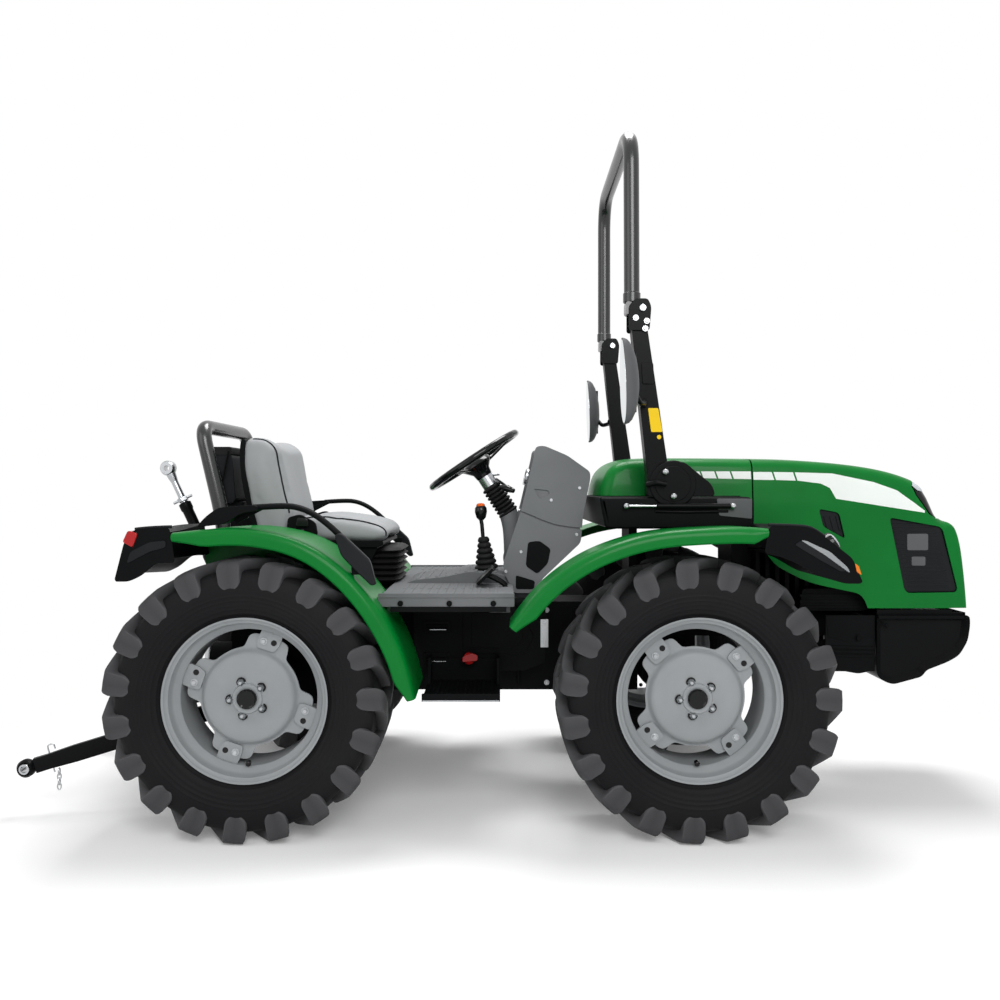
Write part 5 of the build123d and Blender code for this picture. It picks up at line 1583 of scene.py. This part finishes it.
ALONG, REACH = between(BASE, EYE)
SQUARE = np.array((ALONG[2], 0, -ALONG[0]))
SLEEVE_ROWS = ((150, 15), (154, 22), (196, 22), (204, 19), (372, 19), (380, 22), (402, 22), (406, 15))
sleeve, bright = Shape(), Shape()
eye(bright, BASE, 25, 9.8, 19)
eye(bright, EYE, 27, 9.8, 19)
t = np.linspace(24, REACH - 26, 200)
thread = 11.5 + 0.9 * (np.arange(200) % 2)
turned(bright, np.stack([t, thread], 1), BASE, ALONG, 20)
turned(bright, ((24, 16), (46, 14), (60, 11)), BASE, ALONG, 24)
turned(bright, ((REACH - 60, 11), (REACH - 46, 14), (REACH - 24, 17)), BASE, ALONG, 24)
turned(sleeve, SLEEVE_ROWS, BASE, ALONG, 32)
tube(sleeve, [BASE + ALONG * 300 + SQUARE * 18, BASE + ALONG * 300 + SQUARE * 64], 6, 12)
turned(bright, ((408, 13), (411, 19), (424, 19), (427, 13)), BASE, ALONG, 6)
tube(bright, [BASE + ALONG * 418 - SQUARE * 36, BASE + ALONG * 418 + SQUARE * 36], 5, 12)
add_piece("top_link_threads", bright, steel, hides=("top_link",), body="top_link")
add_piece("top_link_sleeve", sleeve, black, body="top_link")
print("top link length", round(REACH))


# %% [markdown]
# Each lower link is a flat bar lofted through six sections, with a ball in an eye at both ends. A
# spring clip stands on it, and four links of chain hang below, each a small torus turned a quarter
# from the last.

# %% Lower links, clips and chains
def chain_link(shape, at, across):
    """Add an oval torus: at + 6 cos a across + 11 sin a up, with wire of radius 2.4 round that line."""
    a, b = around_circle(20), around_circle(8)
    loop = at + 6 * np.cos(a)[:, None] * across + 11 * np.sin(a)[:, None] * np.array(UP)
    into = np.cross(across, UP)
    out = (loop - at) / np.linalg.norm(loop - at, axis=1, keepdims=True)
    wire = out[:, None] * np.cos(b)[None, :, None] + into * np.sin(b)[None, :, None]
    return capped(shape, loop[:, None] + 2.4 * wire, closed=True)


BAR_TALL, BAR_THIN = (22, 27, 27.5, 27.5, 24, 24), (8, 9, 9, 9, 9, 12)
BAR_RING = [(1, 0.8), (0.86, 1), (-0.86, 1), (-1, 0.8), (-1, -0.8), (-0.86, -1), (0.86, -1), (1, -0.8)]
links, balls, chain = Shape(), Shape(), Shape()
for s in (-1, 1):
    inner, outer = np.array((-880.0, s * 175, 335)), np.array((-1556.0, s * 350, 154))
    way, length = between(inner, outer)
    up = np.array(UP) - way * way[2]
    up /= np.linalg.norm(up)
    flat = np.cross(way, up)
    places = (24, 60, 120, length - 150, length - 70, length - 27)
    capped(links, np.array([[inner + way * d + up * (tall * u) + flat * (thin * v) for u, v in BAR_RING]
                            for d, tall, thin in zip(places, BAR_TALL, BAR_THIN)]))
    eye(links, inner, 31, 19, 13)
    eye(balls, inner, 19.5, 12.3, 14.5)
    eye(links, outer, 29, 20, 15)
    eye(balls, outer, 20.5, 11.2, 17.5)
    clip = [outer + way * d + up * h for d, h in ((-96, 34), (-96, 52), (-76, 52), (-76, -40))]
    tube(balls, bent(clip, 8), 2.6, 10)
    for k, drop in enumerate((-44, -60, -76, -92)):
        chain_link(chain, outer - way * 100 + (0, 0, drop), np.array(FORWARD if k % 2 else ACROSS))
add_piece("lower_link_bars", links, black, hides=("lower_links",), body="lower_links")
add_piece("lower_link_balls", balls, steel, body="lower_links")
add_piece("link_chains", chain, steel, body="lower_links")
print("lower link length", round(length))

# %% [markdown]
# Cast arms lift the links through threaded rods with a sleeve and a lock nut; each rod ends in a
# clevis block on a pin.

# %% Lift arms and lift rods
ARM = [(-930, 586), (-884, 584), (-872, 606), (-884, 640), (-1120, 660), (-1140, 646), (-1134, 622),
       (-1110, 618)]
arms, rods = Shape(), Shape()
for s in (-1, 1):
    plate(arms, rounded(ARM, 14), s * 140, s * 160)
    disc(arms, (-900, s * 136, 610), (0, s, 0), 31, 28, 3, 32)
    foot, head = np.array((-1165.0, s * 220, 258.7)), np.array((-1120.0, s * 186, 640.0))
    way, length = between(foot, head)
    t = np.linspace(16, length - 30, 150)
    turned(rods, np.stack([t, 10.5 + 0.8 * (np.arange(150) % 2)], 1), foot, way, 16)
    turned(rods, ((90, 12), (94, 18), (250, 18), (254, 12)), foot, way, 28)
    turned(rods, ((256, 12), (258, 19), (272, 19), (274, 12)), foot, way, 6)
    plate(rods, rounded([(-1140, 622), (-1100, 622), (-1100, 660), (-1140, 660)], 9), s * 172, s * 198)
    plate(rods, rounded([(-1184, 240), (-1148, 240), (-1148, 278), (-1184, 278)], 9), s * 206, s * 229)
    disc(rods, (-1120, s * 130, 640), (0, s, 0), 8, 70, 1.5, 20)
    disc(rods, (-1165, s * 199, 258.7), (0, s, 0), 7, 33, 1.5, 20)
add_piece("lift_arm_castings", arms, cast, hides=("lift_arms",), body="lift_arms", bevel=2)
add_piece("lift_rod_turnbuckles", rods, steel, hides=("lift_rods",), body="lift_rods")
print("lift rod length", round(length))

# %% [markdown]
# ## Rear housing, power take-off and axles
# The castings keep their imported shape. On them sits what a machinist adds: bolt circles on the brake
# housings, the splined stub with its guard, four hydraulic couplers, and the steering cylinder's
# bright rod with its pins at the front.

# %% Bolts, splines, guard, couplers
PTO_Z = 440.0
hardware, guard, couplers = Shape(), Shape(), Shape()
for s in (-1, 1):
    for k in range(8):
        a = 2 * math.pi * (k + 0.5) / 8
        bolt(hardware, (REAR_X + 82 * math.cos(a), s * 376, AXLE_Z + 82 * math.sin(a)), (0, -s, 0), 6.5, 6)
    for x in (-250, -60, 140, 330):
        for z in (375, 630):
            bolt(hardware, (x, s * 95, z), (0, s, 0), 7, 6)
for k in range(6):
    a = 2 * math.pi * k / 6
    out = np.array((0, math.cos(a), math.sin(a)))
    along = np.array((0, -math.sin(a), math.cos(a)))
    tooth = [out * r + along * w for r, w in ((14.5, -4.2), (17.3, -3.6), (17.3, 3.6), (14.5, 4.2))]
    capped(hardware, np.array([[np.array((x, 0, PTO_Z)) + v for v in tooth] for x in (-1034, -990, -962)]))
turned(hardware, ((0, 34), (5, 40), (18, 40), (18, 19)), (-961, 0, PTO_Z), REARWARD, 40)
a = np.radians(np.linspace(-28, 208, 26))
arcs = [np.stack([r * np.cos(a), r * np.sin(a) + PTO_Z], 1) for r in (62, 58)]
thick(guard, *(np.stack([np.insert(arc, 0, x, axis=1) for x in (-962, -1010, -1060)]) for arc in arcs))
for y in (-84, -52, 52, 84):
    turned(couplers, ((0, 16), (14, 16), (16, 13), (32, 13), (34, 11)), (-958, y, 600), REARWARD, 24)
    turned(couplers, ((34, 14), (40, 15), (46, 13), (48, 6)), (-958, y, 600), REARWARD, 24)
add_piece("housing_fasteners", hardware, steel)
add_piece("power_take_off_guard", guard, plastic)
add_piece("hydraulic_couplers", couplers, red)
print("fastener faces", len(hardware.faces))

# %% Steering cylinder rod and casting ribs
link, ribs = Shape(), Shape()
disc(link, (FRONT_X + 93, -232, AXLE_Z), ACROSS, 11, 464, 2, 24)
for s in (-1, 1):
    for z in (395, 454):
        disc(link, (FRONT_X + 93, s * 120, z), (0, s, 0), 6, 30, 1, 16)
add_piece("steering_cylinder_rod", link, steel)
for s in (-1, 1):
    for x in (FRONT_X - 60, FRONT_X, FRONT_X + 60):
        block(ribs, (x - 5, s * 88, 380), (x + 5, s * 108, 520))
    for x in (-380, -180, 40, 240):
        block(ribs, (x - 5, s * 94, 370), (x + 5, s * 106, 640))
add_piece("casting_ribs", ribs, cast, bevel=2)
print("rib faces", len(ribs.faces))
